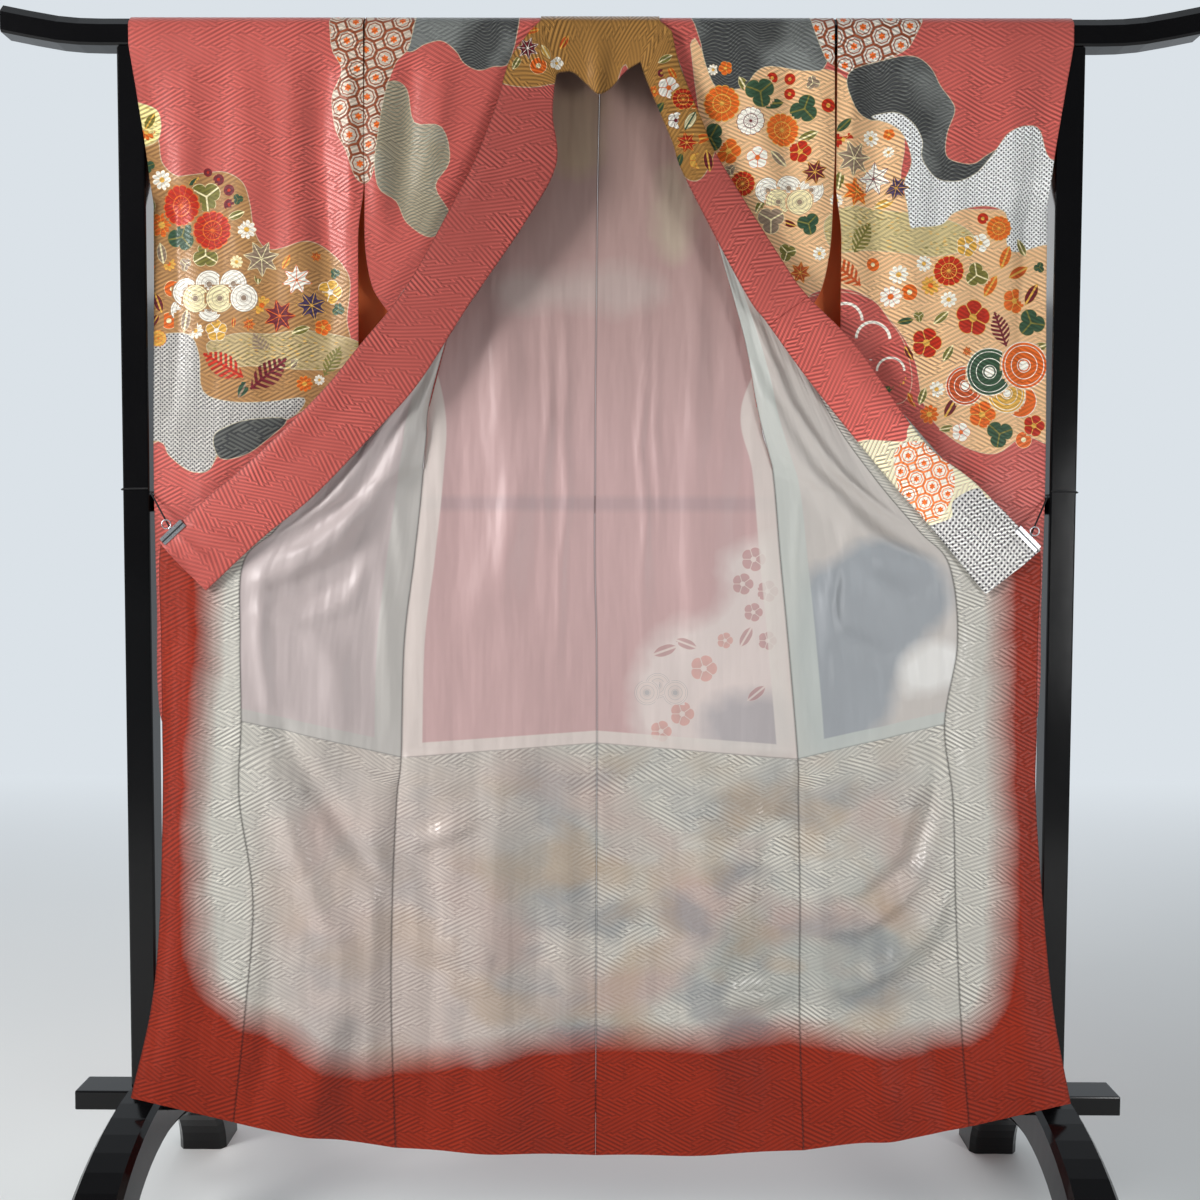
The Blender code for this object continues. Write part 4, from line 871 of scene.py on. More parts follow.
SMALL_MOTIFS = (
    ("ivy", "green", "olive"), ("daisy", "white", "gold"), ("leaf", "olive", "cream"),
    ("leaf", "rust", "gold"), ("plum", "orange", "gold"), ("ivy", "olive", "cream"),
    ("ball", "red", "gold"), ("leaf", "green", "olive"), ("fern", "wine", "gold"),
    ("ivy", "taupe", "cream"), ("maple", "rust", "gold"),
)
SMALL_SIZES = (0.8, 1.0, 1.3, 1.6)  # their radius, in centimetres
BALL_MOST, FERN_LEAST = 1.0, 1.6
SMALL_ROOM = 0.85  # of its radius, that a small motif keeps from the others

# Zones laid over a peach zone, which stay bare of small motifs
COVERS = {
    "peach_left": ("kanoko_left", "grey_left_low", "mist_left"),
    "peach_right": ("kanoko_right", "grey_right", "mist_right", "pink_right", "lattice_right"),
}


def spread(groups):
    """One row for each motif: kind, place across and up, radius, turn, and two colours."""
    return [(kind, *place, dye, trim) for kind, dye, trim, places in groups for place in places]


def fill_between(groups, zone, seed, tries=900):
    """Small leaves and flowers in what is still bare of a zone, unevenly placed."""
    rng = np.random.default_rng(seed)
    outline = np.array(ZONES[zone], float)
    low, high = outline.min(axis=0), outline.max(axis=0)
    places = low + (high - low) * rng.random((tries, 2))
    depth = inside_distance(places[:, 0] / 100, places[:, 1] / 100, ZONES[zone]) * 100
    for cover in COVERS[zone]:
        over = inside_distance(places[:, 0] / 100, places[:, 1] / 100, ZONES[cover]) * 100
        depth = np.minimum(depth, -over)
    filled = spread(groups)
    for (x, z), room in zip(places, depth):
        radius = rng.choice(SMALL_SIZES)
        gaps = [math.hypot(x - m[1], z - m[2]) - m[3] for m in filled]
        if room < radius or min(gaps) < radius * SMALL_ROOM:
            continue
        kind, dye, trim = SMALL_MOTIFS[rng.integers(len(SMALL_MOTIFS))]
        radius = min(radius, BALL_MOST) if kind == "ball" else radius
        if kind == "fern" and radius < FERN_LEAST:
            continue
        turn = float(rng.integers(0, 180))
        filled.append((kind, float(x), float(z), float(radius), turn, dye, trim))
    return filled


def write_attribute(mesh, name, kind, domain, values):
    layer = mesh.attributes.new(name, kind, domain)
    key = {"FLOAT": "value", "FLOAT_VECTOR": "vector", "FLOAT_COLOR": "color"}[kind]
    layer.data.foreach_set(key, np.ascontiguousarray(values, np.float32).ravel())


# How far past a motif its faces reach, over other motifs and over bare cloth
MOTIF_MARGIN = 0.0012
MOTIF_REACH = 0.006
OFF_MOTIF = 9.0  # a place outside every motif, in radii
MOTIF_KINDS = {"arc": 1.0, "fern": 2.0}


def loop_vertices(mesh):
    corners = np.empty(len(mesh.loops), np.int64)
    mesh.loops.foreach_get("vertex_index", corners)
    return corners


def write_motifs(mesh, places, motifs):
    """Gives each face the motif that it shows, and each corner its place in it."""
    faces = len(mesh.polygons)
    corners = loop_vertices(mesh)
    counts = np.empty(faces, np.int64)
    mesh.polygons.foreach_get("loop_total", counts)
    owner = np.repeat(np.arange(faces), counts)
    spots = places[corners]
    motifs = sorted(motifs, key=lambda motif: motif[3])
    centre = np.stack(
        [np.bincount(owner, spots[:, k], faces) / counts for k in range(2)], axis=1
    )
    chosen = np.full(faces, -1)
    for i, (_, x, z, radius, _, _, _) in enumerate(motifs):
        gap = np.hypot(centre[:, 0] - x / 100, centre[:, 1] - z / 100)
        chosen = np.where(gap < radius / 100 + MOTIF_MARGIN, i, chosen)
        near = (chosen < 0) & (gap < radius / 100 + MOTIF_REACH)
        chosen = np.where(near, i, chosen)
    local = np.full((len(corners), 3), OFF_MOTIF)
    shape = np.tile((1.0, 0.0, 1.0), (faces, 1))
    marks = np.zeros((faces, 3))
    main = np.ones((faces, 4))
    line = np.ones((faces, 4))
    for i, (kind, x, z, radius, turn, dye, trim) in enumerate(motifs):
        mine = chosen == i
        if not mine.any():
            continue
        petals, depth, power, rings, heart, lines = MOTIFS[kind]
        shape[mine] = (petals, depth, power)
        marks[mine] = (rings, heart, lines)
        main[mine, :3] = DYES[dye]
        line[mine, :3] = DYES[trim]
        at = mine[owner]
        dx, dz = spots[at, 0] - x / 100, spots[at, 1] - z / 100
        c, s = math.cos(math.radians(turn)), math.sin(math.radians(turn))
        local[at, 0] = (dx * c + dz * s) / (radius / 100)
        local[at, 1] = (dz * c - dx * s) / (radius / 100)
        local[at, 2] = MOTIF_KINDS.get(kind, 0.0)
    write_attribute(mesh, "motif_place", "FLOAT_VECTOR", "CORNER", local)
    for name, values in (("shape", shape), ("marks", marks)):
        write_attribute(mesh, f"motif_{name}", "FLOAT_VECTOR", "FACE", values)
    for name, values in (("main", main), ("line", line)):
        write_attribute(mesh, f"motif_{name}", "FLOAT_COLOR", "FACE", values)


SHARP = math.radians(55)


def add_object(name, mesh):
    item = bpy.data.objects.new(name, mesh)
    bpy.context.scene.collection.objects.link(item)
    return item


def shell(name, points, push, near, far, look, node, slot, zones=(), motifs=None, keep=None,
          extra=None, cloth=None, inner=None):
    """A closed thin wall on a grid of points, which stands for one node of the part."""
    rows, columns = points.shape[:2]
    size = rows * columns
    push = np.broadcast_to(push, points.shape)
    layers = np.concatenate([(points + push * d).reshape(-1, 3) for d in (near, far)])
    i, j = np.meshgrid(np.arange(rows - 1), np.arange(columns - 1), indexing="ij")
    a = (i * columns + j).ravel()
    if keep is not None:
        a = a[keep.ravel()]
    quads = np.stack([a, a + 1, a + columns + 1, a + columns], axis=1)
    p = layers[quads[len(quads) // 2] + size]
    middle = quads[len(quads) // 2][0]
    if np.dot(np.cross(p[1] - p[0], p[3] - p[0]), push.reshape(-1, 3)[middle]) < 0:
        quads = quads[:, ::-1]
    edges = np.concatenate([quads[:, [k, (k + 1) % 4]] for k in range(4)])
    code, back = edges[:, 0] * size + edges[:, 1], edges[:, 1] * size + edges[:, 0]
    rim = edges[~np.isin(code, back)]
    rim_quads = np.stack([rim[:, 0] + size, rim[:, 0], rim[:, 1], rim[:, 1] + size], axis=1)
    faces = np.concatenate([quads + size, quads[:, ::-1], rim_quads])
    used = np.unique(faces)
    renumber = np.zeros(2 * size, np.int64)
    renumber[used] = np.arange(len(used))
    mesh = bpy.data.meshes.new(name)
    mesh.from_pydata(layers[used].tolist(), [], renumber[faces].tolist())
    mesh.validate()
    mesh.polygons.foreach_set("use_smooth", np.ones(len(mesh.polygons), bool))
    mesh.set_sharp_from_angle(angle=SHARP)
    flat = cloth_places(points) if cloth is None else cloth
    flat = np.concatenate([flat.reshape(-1, 2)] * 2)[used][loop_vertices(mesh)]
    mesh.uv_layers.new(name="cloth").data.foreach_set("uv", flat.astype(np.float32).ravel())
    spots = np.concatenate([points.reshape(-1, 3)] * 2)[used][:, [0, 2]]
    for zone in zones:
        distance = inside_distance(spots[:, 0], spots[:, 1], ZONES[zone])
        write_attribute(mesh, zone, "FLOAT", "POINT", distance)
    for key, values in {**(extra or {}), "seam_distance": seam_distances(points)}.items():
        values = np.broadcast_to(values, points.shape[:2]).reshape(-1)
        write_attribute(mesh, key, "FLOAT", "POINT", np.concatenate([values] * 2)[used])
    if motifs is not None:
        write_motifs(mesh, spots, motifs)
    piece = add_object(name, mesh)
    mesh.materials.append(look)
    if inner:
        mesh.materials.append(inner)
        index = np.ones(len(faces), np.int32)
        index[: len(quads)] = 0
        mesh.polygons.foreach_set("material_index", index)
    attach(piece, "root")
    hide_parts(node)
    kind = next(k for k in CUTS if k in node)
    return piece


# Materials


# Outputs of an attribute
COLOUR, VECTOR, FACTOR = 0, 1, 2


def operator(operation, turned=False):
    """How a value is summed with another value or number: by a Math node."""

    def run(self, other):
        pair = (other, self) if turned else (self, other)
        return self.graph.math(operation, *pair)

    return run


class Value:
    """A number that a shader works out at each place."""

    def __init__(self, graph, socket):
        self.graph = graph
        self.socket = socket

    def __abs__(self):
        return self.graph.math("ABSOLUTE", self)

    __add__, __radd__ = operator("ADD"), operator("ADD", True)
    __sub__, __rsub__ = operator("SUBTRACT"), operator("SUBTRACT", True)
    __pow__, __rpow__ = operator("POWER"), operator("POWER", True)
    __mul__, __rmul__ = operator("MULTIPLY"), operator("MULTIPLY", True)
    __truediv__ = operator("DIVIDE")
    __mod__ = operator("FLOORED_MODULO")


class Graph:
    """Short calls that add shader nodes. They take and return values, vectors and colours."""

    def __init__(self, name):
        self.material = bpy.data.materials.new(name)
        self.material.use_nodes = True
        self.nodes = self.material.node_tree.nodes
        self.links = self.material.node_tree.links
        self.shader = self.nodes["Principled BSDF"]

    def put(self, socket, value):
        if isinstance(value, Value):
            self.links.new(value.socket, socket)
        elif isinstance(value, tuple) and len(value) == 3 and socket.type == "RGBA":
            socket.default_value = (*value, 1)
        else:
            socket.default_value = value

    def give(self, name, value):
        """Sets an input of the surface shader."""
        self.put(self.shader.inputs[name], value)

    def node(self, kind, inputs=None, **settings):
        """Adds a node with its settings and inputs. Inputs that are None stay as they are."""
        node = self.nodes.new("ShaderNode" + kind)
        for key, value in settings.items():
            setattr(node, key, value)
        for key, value in (inputs or {}).items():
            if value is not None:
                self.put(node.inputs[key], value)
        return [Value(self, socket) for socket in node.outputs]

    def math(self, operation, *values):
        return self.node("Math", dict(enumerate(values)), operation=operation)[0]

    def most(self, a, b):
        return self.math("MAXIMUM", a, b)

    def sine(self, a):
        return self.math("SINE", a)

    def step(self, value, low, high):
        """0 up to low, 1 from high on."""
        return self.node("MapRange", {0: value, 1: low, 2: high})[0]

    def below(self, value, low, high):
        """1 up to low, 0 from high on."""
        return 1.0 - self.step(value, low, high)

    def band(self, value, rise, fall):
        """1 between a rise and a fall, 0 outside them."""
        return self.step(value, *rise) * self.below(value, *fall)

    def mix(self, factor, a, b):
        return self.node("Mix", {0: factor, 6: a, 7: b}, data_type="RGBA")[2]

    def shade(self, colour, amount):
        """A colour made darker or lighter by a number round 1."""
        return self.node("VectorMath", {0: colour, "Scale": amount}, operation="SCALE")[0]

    def attribute(self, name, output=FACTOR):
        return self.node("Attribute", attribute_name=name)[output]

    def split(self, vector):
        return self.node("SeparateXYZ", {0: vector})

    def join(self, x, y, z=0.0):
        return self.node("CombineXYZ", {0: x, 1: y, 2: z})[0]

    def place(self):
        """The place on the object, in metres."""
        return self.node("TexCoord")[3]

    def cloth(self):
        """The place on the flat cloth, in metres."""
        return self.split(self.node("UVMap", uv_map="cloth")[0])[:2]

    def noise(self, vector, scale, detail=2.0, roughness=0.5):
        values = {"Vector": vector, "Scale": scale, "Detail": detail, "Roughness": roughness}
        return self.node("TexNoise", values)[0]

    def cloud(self, x, y, across, along, detail=2.0, roughness=0.5, seed=0.0):
        """Noise on a flat place, with so many waves to the metre."""
        return self.noise(self.join(x * across, y * along, seed), 1.0, detail, roughness)

    def bump(self, height, distance, strength=1.0, normal=None):
        values = {"Height": height, "Distance": distance, "Strength": strength}
        return self.node("Bump", {**values, "Normal": normal})[0]


FRET_SIZE = 32  # squares in one repeat of the key-fret
FRET_HALF = FRET_SIZE // 2
FRET_SQUARE = 0.0028
FRET_SCALE = 2.0**FRET_HALF
LEAN_ACROSS, LEAN_UP = 0.46, 0.888  # the fret's slant on the cloth
FRET_SHADE_ACROSS, FRET_SHADE_ALONG = 0.0009, 0.0013  # from a line to its dark edge
# A line's inside is painted lighter than the ground as its sheen.
FRET_BODY = 0.35  # how much lighter a line is inside than the ground


def fret_rows():
    """The key-fret on squares: for each row two numbers, with a bit for each square of a half.

    Bars of three long lines with short keys on both sides, upright and across by turns.
    """
    bar = {(8, y) for y in range(-4, 21)}
    bar |= {(x, y) for x in (6, 10) for y in range(-2, 19)}
    for x, reach in ((2, 4), (4, 6), (12, 6), (14, 4)):
        bar |= {(x, y) for y in range(reach + 1)} | {(x, 16 - y) for y in range(reach + 1)}
    bar |= {(x, y) for x in (3, 13) for y in (4, 12)}
    drawn = {(0, 0), (16, 16), (0, 16), (16, 0)}
    for shift in (0, 16):
        drawn |= {((x + shift) % FRET_SIZE, (y + shift) % FRET_SIZE) for x, y in bar}
        drawn |= {((y + 16 - shift) % FRET_SIZE, (x + shift) % FRET_SIZE) for x, y in bar}
    return [
        [
            sum(2**k for k in range(FRET_HALF) if (part + k, y) in drawn)
            for part in (0, FRET_HALF)
        ]
        for y in range(FRET_SIZE)
    ]


FRET_ROWS = fret_rows()


def fret(g, x, y):
    """1 on the lines of an oblique key-fret, 0 between them."""
    size = float(FRET_SIZE)
    p = (x * LEAN_ACROSS + y * LEAN_UP) / FRET_SQUARE
    q = (y * LEAN_UP - x * LEAN_ACROSS) / FRET_SQUARE
    column = g.math("FLOOR", p % size)
    row = g.math("FLOOR", q % size)
    ramp = g.nodes.new("ShaderNodeValToRGB")
    ramp.color_ramp.interpolation = "CONSTANT"
    g.put(ramp.inputs[0], (row + 0.5) / size)
    stops = ramp.color_ramp.elements
    while len(stops) < FRET_SIZE:
        stops.new(0.5)
    for k, (first, second) in enumerate(FRET_ROWS):
        stops[k].position = k / FRET_SIZE
        stops[k].color = (first / FRET_SCALE, second / FRET_SCALE, 0, 1)
    parts = g.node("SeparateColor", {0: Value(g, ramp.outputs[0])})
    past_first = g.math("GREATER_THAN", column, FRET_HALF - 0.5)
    bits = parts[0] * (1.0 - past_first) + parts[1] * past_first
    bits = g.math("ROUND", bits * FRET_SCALE) + 0.5
    place = 2.0 ** (column % float(FRET_HALF))
    return g.math("FLOOR", bits / place) % 2.0


def woven_fret(g, x, y):
    """The key-fret with a painted highlight and shade: a light and a dark edge on each line, round
    0, and each line painted lighter inside as its sheen.
    """
    figure = fret(g, x, y)
    beside = fret(g, x + FRET_SHADE_ACROSS, y + FRET_SHADE_ALONG)
    return figure - beside + (figure - 0.5) * FRET_BODY, figure


# Octagon lattice, in shares of its pitch: where each outline rises and where it falls
LATTICE_OUTER = ((0.42, 0.44), (0.54, 0.56))
LATTICE_INNER = ((0.29, 0.31), (0.345, 0.365))
LATTICE_LEAN_ACROSS, LATTICE_LEAN_UP = 0.9, 0.42
CORNER_CUT = 0.72
FLOWER_EDGE = (0.09, 0.12)
FLOWER_PETALS, PETAL_DEPTH = 6, 0.07


def lattice(g, x, y, pitch):
    """Slanting octagons with double outlines, and a small flower in each: lines, flower."""
    x, y = (
        x * LATTICE_LEAN_ACROSS - y * LATTICE_LEAN_UP,
        x * LATTICE_LEAN_UP + y * LATTICE_LEAN_ACROSS,
    )
    cx = x / pitch % 1.0 - 0.5
    cy = y / pitch % 1.0 - 0.5
    ax, ay = abs(cx), abs(cy)
    octagon = g.most(g.most(ax, ay), (ax + ay) * CORNER_CUT)
    outer = g.band(octagon, *LATTICE_OUTER)
    ring = g.band(octagon, *LATTICE_INNER)
    radius = (cx * cx + cy * cy) ** 0.5
    angle = g.math("ARCTAN2", cy, cx)
    petals = abs(g.math("COSINE", angle * (FLOWER_PETALS / 2))) * PETAL_DEPTH
    heart = g.below(radius - petals, *FLOWER_EDGE)
    return g.most(outer, ring), heart


DOT_EDGE = (0.20, 0.30)  # of the way from one dot to the next
DIAGONAL = 1.414


def dots(g, x, y, pitch):
    """Small dark dots on slanting rows."""
    p = (x + y) / (pitch * DIAGONAL)
    q = (x - y) / (pitch * DIAGONAL)
    cx = p % 1.0 - 0.5
    cy = q % 1.0 - 0.5
    gap = g.most(abs(cx), abs(cy))
    return g.below(gap, *DOT_EDGE)


def wavy(g, x, y, pitch=0.0045):
    """Fine lines that run in waves."""
    sway = g.sine(x * 150.0) * 0.004 + g.sine(x * 61.0 + y * 40.0) * 0.006
    place = (y + sway) / pitch % 1.0
    return g.below(abs(place - 0.5), 0.1, 0.2)


DASHES_ACROSS, DASHES_UP = 90.0, 330.0  # to the metre
DASH_EDGE = (0.22, 0.30)


def dashes(g, x, y):
    """Scattered short dashes of leaf metal."""
    cell = g.join(x * DASHES_ACROSS, y * DASHES_UP)
    distance, tint, *_ = g.node("TexVoronoi", {"Vector": cell, "Scale": 1.0})
    return g.below(distance, *DASH_EDGE), tint


# Motifs, in shares of their radius: over what width each part fades in or out
MOTIF_EDGE = (0.0, 0.03)
MOTIF_RIM = (0.035, 0.065)
MOTIF_VEIN = (0.020, 0.040)
MOTIF_RING = (0.43, 0.46)
ARC_MIDDLE, ARC_EDGE = 0.86, (0.05, 0.09)
LEAFLETS, LEAFLET_LEAN, LEAFLET_EDGE = 4.0, 2.4, (0.26, 0.34)
FERN_HALF = 0.52
STEM_EDGE = (0.04, 0.07)


def motif_layer(g, base):
    """Paints the motifs over a colour. Their kind is 1 for arcs, 2 for ferns, else 0."""
    x, y, kind = g.split(g.attribute("motif_place", VECTOR))
    is_fern = g.step(kind, 1.4, 1.6)
    is_arc = g.step(kind, 0.4, 0.6) - is_fern
    petals, depth, power = g.split(g.attribute("motif_shape", VECTOR))
    rings, heart, lines = g.split(g.attribute("motif_marks", VECTOR))
    main = g.attribute("motif_main", COLOUR)
    trim = g.attribute("motif_line", COLOUR)
    r = (x * x + y * y) ** 0.5
    half = g.math("ARCTAN2", y, x) * petals * 0.5
    c = abs(g.math("COSINE", half))
    s = abs(g.sine(half))
    round_notch = 1.0 - c ** g.most(power, 0.01)
    sharp_notch = s ** g.most(power * -1.0, 0.01)
    sharp = g.step(power * -1.0, 0.0, 0.01)
    notch = round_notch * (1.0 - sharp) + sharp_notch * sharp
    edge = 1.0 - depth * notch
    gap = edge - r
    inside = g.step(gap, *MOTIF_EDGE)
    rim = g.below(gap, *MOTIF_RIM)
    between = c + abs(lines - 1.0) * 9.0
    along = s + abs(lines - 2.0) * 9.0
    width = g.math("MINIMUM", between, along) * (r * 0.4)
    veins = g.below(width, *MOTIF_VEIN)
    turn = abs(g.math("FRACT", r * rings) - 0.5)
    ring = g.step(turn, *MOTIF_RING) * g.step(rings, 0.4, 0.6)
    core = g.below(r - heart, -0.02, 0.02)
    core = core * g.step(heart, 0.01, 0.02)
    drawn = g.most(g.most(rim, veins), g.most(ring, core))
    shaded = g.shade(main, 0.8 + r * 0.28)
    colour = g.mix(drawn, shaded, trim)
    upper = g.step(y, 0.0, 0.05)
    arc = g.below(abs(r - ARC_MIDDLE), *ARC_EDGE) * upper
    off_stem = abs(y)
    leaflet = g.math("FRACT", x * LEAFLETS - off_stem * LEAFLET_LEAN)
    leaflet = g.below(abs(leaflet - 0.5), *LEAFLET_EDGE)
    reach = (1.0 - x * x) * FERN_HALF
    leaflet = leaflet * g.step(reach - off_stem, 0.0, 0.05)
    stem = g.below(off_stem, *STEM_EDGE) * g.step(r, 1.0, 0.98)
    fern = g.most(leaflet, stem) * g.below(r, 0.97, 1.0)
    colour = g.mix(is_fern, colour, main)
    plain = inside * (1.0 - (is_arc + is_fern))
    shown = plain + (arc * is_arc + fern * is_fern)
    return g.mix(shown, base, colour)


DOT_PITCH = {"dots": 0.0044, "large_dots": 0.0060}
LATTICE_PITCH = {"lattice": 0.029, "small_lattice": 0.024}
MIST_GREY = srgb(158, 162, 158)
PRINT_EDGE = 0.0003  # half of the width over which one printed colour changes to the next
THREAD_TURN = 6283.0 / 0.7  # radians to the metre, for threads 0.7 mm apart


def filled_zone(g, x, y, px, pz, dye, fill, fill_dye):
    """A zone's colour with what fills it."""
    if fill == "wavy":
        body = g.mix(wavy(g, px, pz), dye, fill_dye)
        pale = g.step(g.cloud(px, pz, 9.0, 9.0), 0.46, 0.64)
        return g.mix(pale * 0.5, body, MIST_GREY)
    if fill == "fret":
        return g.mix(fret(g, x, y) * 0.8, dye, fill_dye)
    if fill in DOT_PITCH:
        return g.mix(dots(g, px, pz, DOT_PITCH[fill]), dye, fill_dye)
    if fill in LATTICE_PITCH:
        lines, flower = lattice(g, px, pz, LATTICE_PITCH[fill])
        return g.mix(flower, g.mix(lines, dye, fill_dye), DYES["orange"])
    dash, tint = dashes(g, px, pz)
    tinted = g.mix(g.step(g.split(tint)[0], 0.45, 0.55), DYES["olive"], fill_dye)
    return g.mix(dash * 0.8, dye, tinted)


def silk(name, ground, layers, figure, motifs=True, sheen=0.12, roughness=0.38, soft=0.0,
         print_and_painted_light=None, print_strength=1.0, seam_shade=0.35, rumple=0.35, gloss=0.45):
    """Dyed silk. Each layer is a zone and its colour, then what fills it, and in what colour.

    Soft layers have no sharp outline and aren't filled: they show through from behind.
    """
    g = Graph(name)
    x, y = g.cloth()
    px, _, pz = g.split(g.place())
    colour = ground
    for zone, dye, *fill in layers:
        distance = g.attribute(zone)
        if soft:
            cloud = g.cloud(x, y, 11.0, 11.0, 3.0, 0.6)
            distance = distance + (cloud - 0.5) * (3.2 * soft)
            colour = g.mix(g.step(distance, -soft, soft) * 0.85, colour, dye)
            continue
        body = filled_zone(g, x, y, px, pz, dye, *fill) if fill else dye
        colour = g.mix(g.step(distance, -PRINT_EDGE, PRINT_EDGE), colour, body)
        line = g.below(abs(distance), 0.0004, 0.0008)
        colour = g.mix(line * 0.55, colour, CREAM)
    if motifs:
        colour = g.mix(print_strength, colour, motif_layer(g, colour))
    # The fret's painted highlight and shade on its edges, and its painted sheen
    painted_relief, pattern = woven_fret(g, x, y) if figure else (0.0, 0.0)
    # Painted sheen: the fret's lines lighter in broad patches, and the silk lighter and darker in
    # soft streaks, part random tone
    painted_lustre = g.step(g.cloud(x, y, 6.0, 9.0), 0.42, 0.68)
    painted_relief = painted_relief * (0.75 + painted_lustre * 0.8)
    tone = 1.0 + (painted_relief * figure + painted_lustre * pattern * (figure * 0.5))
    painted_sheen_drift = 0.89 + g.cloud(x, y, 9.0, 3.0, 3.0) * 0.22
    colour = g.shade(colour, tone * painted_sheen_drift)
    # Painted light and shade of the look, with any print showing through
    if print_and_painted_light:
        colour = print_and_painted_light(g, colour)
    seam = g.step(g.attribute("seam_distance"), 0.0002, 0.0024)
    colour = g.shade(colour, 1.0 - seam_shade + seam * seam_shade)
    g.give("Base Color", colour)
    rough = roughness + 0.08 - pattern * (0.2 if figure else 0.0)
    rough = rough + g.cloud(x, y, 30.0, 30.0) * 0.06
    if print_and_painted_light is ombre_finish:
        rough = rough + g.step(g.attribute("hem_white"), 0.01, -0.02) * 0.22
    g.give("Roughness", rough)
    g.give("Sheen Weight", sheen)
    g.give("Sheen Roughness", 0.35)
    g.give("Specular IOR Level", gloss)
    g.give("Specular Tint", g.mix(0.55, (1.0, 1.0, 1.0), colour))
    threads = g.sine(x * THREAD_TURN) + g.sine(y * THREAD_TURN)
    height = pattern * 0.1 + threads * 0.015
    folds = g.cloud(x, y, 16.0, 3.0, 3.0, 0.45)
    normal = g.bump(folds, 0.012, rumple)
    g.give("Normal", g.bump(height, 0.0006, 0.8, normal))
    return g.material


LACQUER_BLACKS = ((0.0015, 0.0015, 0.0018), (0.0045, 0.0040, 0.0045))
CORD_BLACKS = (srgb(14, 14, 15), srgb(44, 43, 45))
CORD_TWIST = 3600.0  # radians to the metre


def lacquer():
    """Gloss lacquer with a faint haze."""
    g = Graph("black_lacquer_gloss")
    place = g.place()
    haze = g.noise(place, 7.0, 4.0, 0.6)
    smear = g.noise(place, 60.0, 3.0, 0.7)
    g.give("Base Color", g.mix(haze, *LACQUER_BLACKS))
    rough = 0.09 + (haze * 0.05 + smear * 0.04)
    g.give("Roughness", rough)
    g.give("Specular IOR Level", 0.30)
    g.give("Normal", g.bump(g.noise(place, 22.0, 2.0), 0.0015, 0.05))
    return g.material


def clip_frame(side):
    """The middle of a clip's jaws on the collar's edge, the way along them and the way out."""
    table = COLLAR_LEFT if side == "left" else COLLAR_RIGHT
    end, after = (np.array((row[0], 0.0, row[2])) for row in table[:2])
    along = (after - end) / np.linalg.norm(after - end)
    out = np.array((-along[2], 0.0, along[0]))
    out *= math.copysign(1.0, out[2])
    return end + along * (CLIP_START + CLIP_LENGTH / 2) + np.array((0, CLIP_Y, 0)), along, out


def steel(side):
    g = Graph(f"clip_steel_{side}")
    place = g.place()
    grain = g.noise(place, 900.0, 2.0, 0.6)
    colour = g.mix(grain, srgb(188, 190, 194), srgb(226, 227, 230))
    middle, _, out = clip_frame(side)
    px, _, pz = g.split(place)
    reach = (px - middle[0]) * out[0] + (pz - middle[2]) * out[2]
    # Painted shade of the groove along the clip: a dark line on the steel's colour
    groove_shade = g.below(abs(reach + GROOVE), 0.0008, 0.0014)
    colour = g.shade(colour, 1.0 - groove_shade * 0.85)
    g.give("Base Color", colour)
    g.give("Metallic", 1.0)
    g.give("Roughness", 0.22 + grain * 0.14)
    g.give("Normal", g.bump(grain, 0.0002, 0.3))
    return g.material


def cord_look():
    g = Graph("tie_cord_twist")
    place = g.place()
    x, y, z = g.split(place)
    twist = g.sine((x + y + z * 1.6) * CORD_TWIST)
    # The cord lighter on its twist's ridges and darker in its hollows: painted light and shade
    g.give("Base Color", g.mix(g.step(twist, -1.0, 1.0), *CORD_BLACKS))
    g.give("Roughness", 0.62 + g.noise(place, 800.0) * 0.2)
    g.give("Normal", g.bump(twist, 0.0004, 0.8))
    return g.material


LATTICE_LINE = srgb(142, 76, 50)

# Layers of the print, from the lowest up: zone and its colour, then what fills it and in
# what colour
PRINT_LAYERS = {
    "left": (
        # The peach, mist and kanoko grounds here are painted darker than the right's, as the left
        # side's shade
        ("peach_left", SHADED_PEACH_LEFT),
        ("wavy_left", PALE_GREEN, "wavy", srgb(126, 130, 114)),
        ("grey_left_top", GREY, "wavy", GREY_LINE),
        ("lattice_left", srgb(206, 190, 172), "lattice", LATTICE_LINE),
        ("cream_left", srgb(238, 220, 150), "dashes", DYES["gold"]),
        ("mist_left", srgb(184, 162, 118), "dashes", DYES["gold"]),
        ("kanoko_left", srgb(194, 190, 184), "dots", srgb(64, 60, 64)),
        ("grey_left_low", GREY, "fret", GREY_LINE),
    ),
    "right": (
        ("peach_right", PEACH_RIGHT),
        ("pink_right", PINK),
        ("grey_right_top", GREY, "wavy", GREY_LINE),
        ("lattice_right", srgb(214, 206, 194), "lattice", LATTICE_LINE),
        ("grey_right", GREY, "wavy", GREY_LINE),
        ("mist_right", srgb(202, 184, 134), "dashes", DYES["gold"]),
        ("kanoko_right", srgb(240, 240, 238), "dots", srgb(70, 66, 70)),
    ),
    "collar": (
        ("gold", GOLD),
        ("pale_end", CREAM),
        ("lattice_end", srgb(226, 218, 204), "small_lattice", srgb(222, 120, 62)),
        ("kanoko_end", srgb(190, 187, 184), "large_dots", srgb(58, 54, 58)),
    ),
    "lining_back": (
        ("cream_top", srgb(218, 196, 160)),
        ("band_mid", srgb(208, 190, 186)),
        ("cream_arm", srgb(216, 204, 182)),
        ("cream_low", srgb(224, 212, 206)),
        ("grey_low", srgb(172, 166, 168)),
    ),
    "lining_front_left": (),
    "lining_front_right": (
        ("grey_front", srgb(152, 158, 164)),
        ("pale_front", srgb(228, 226, 222)),
    ),
}

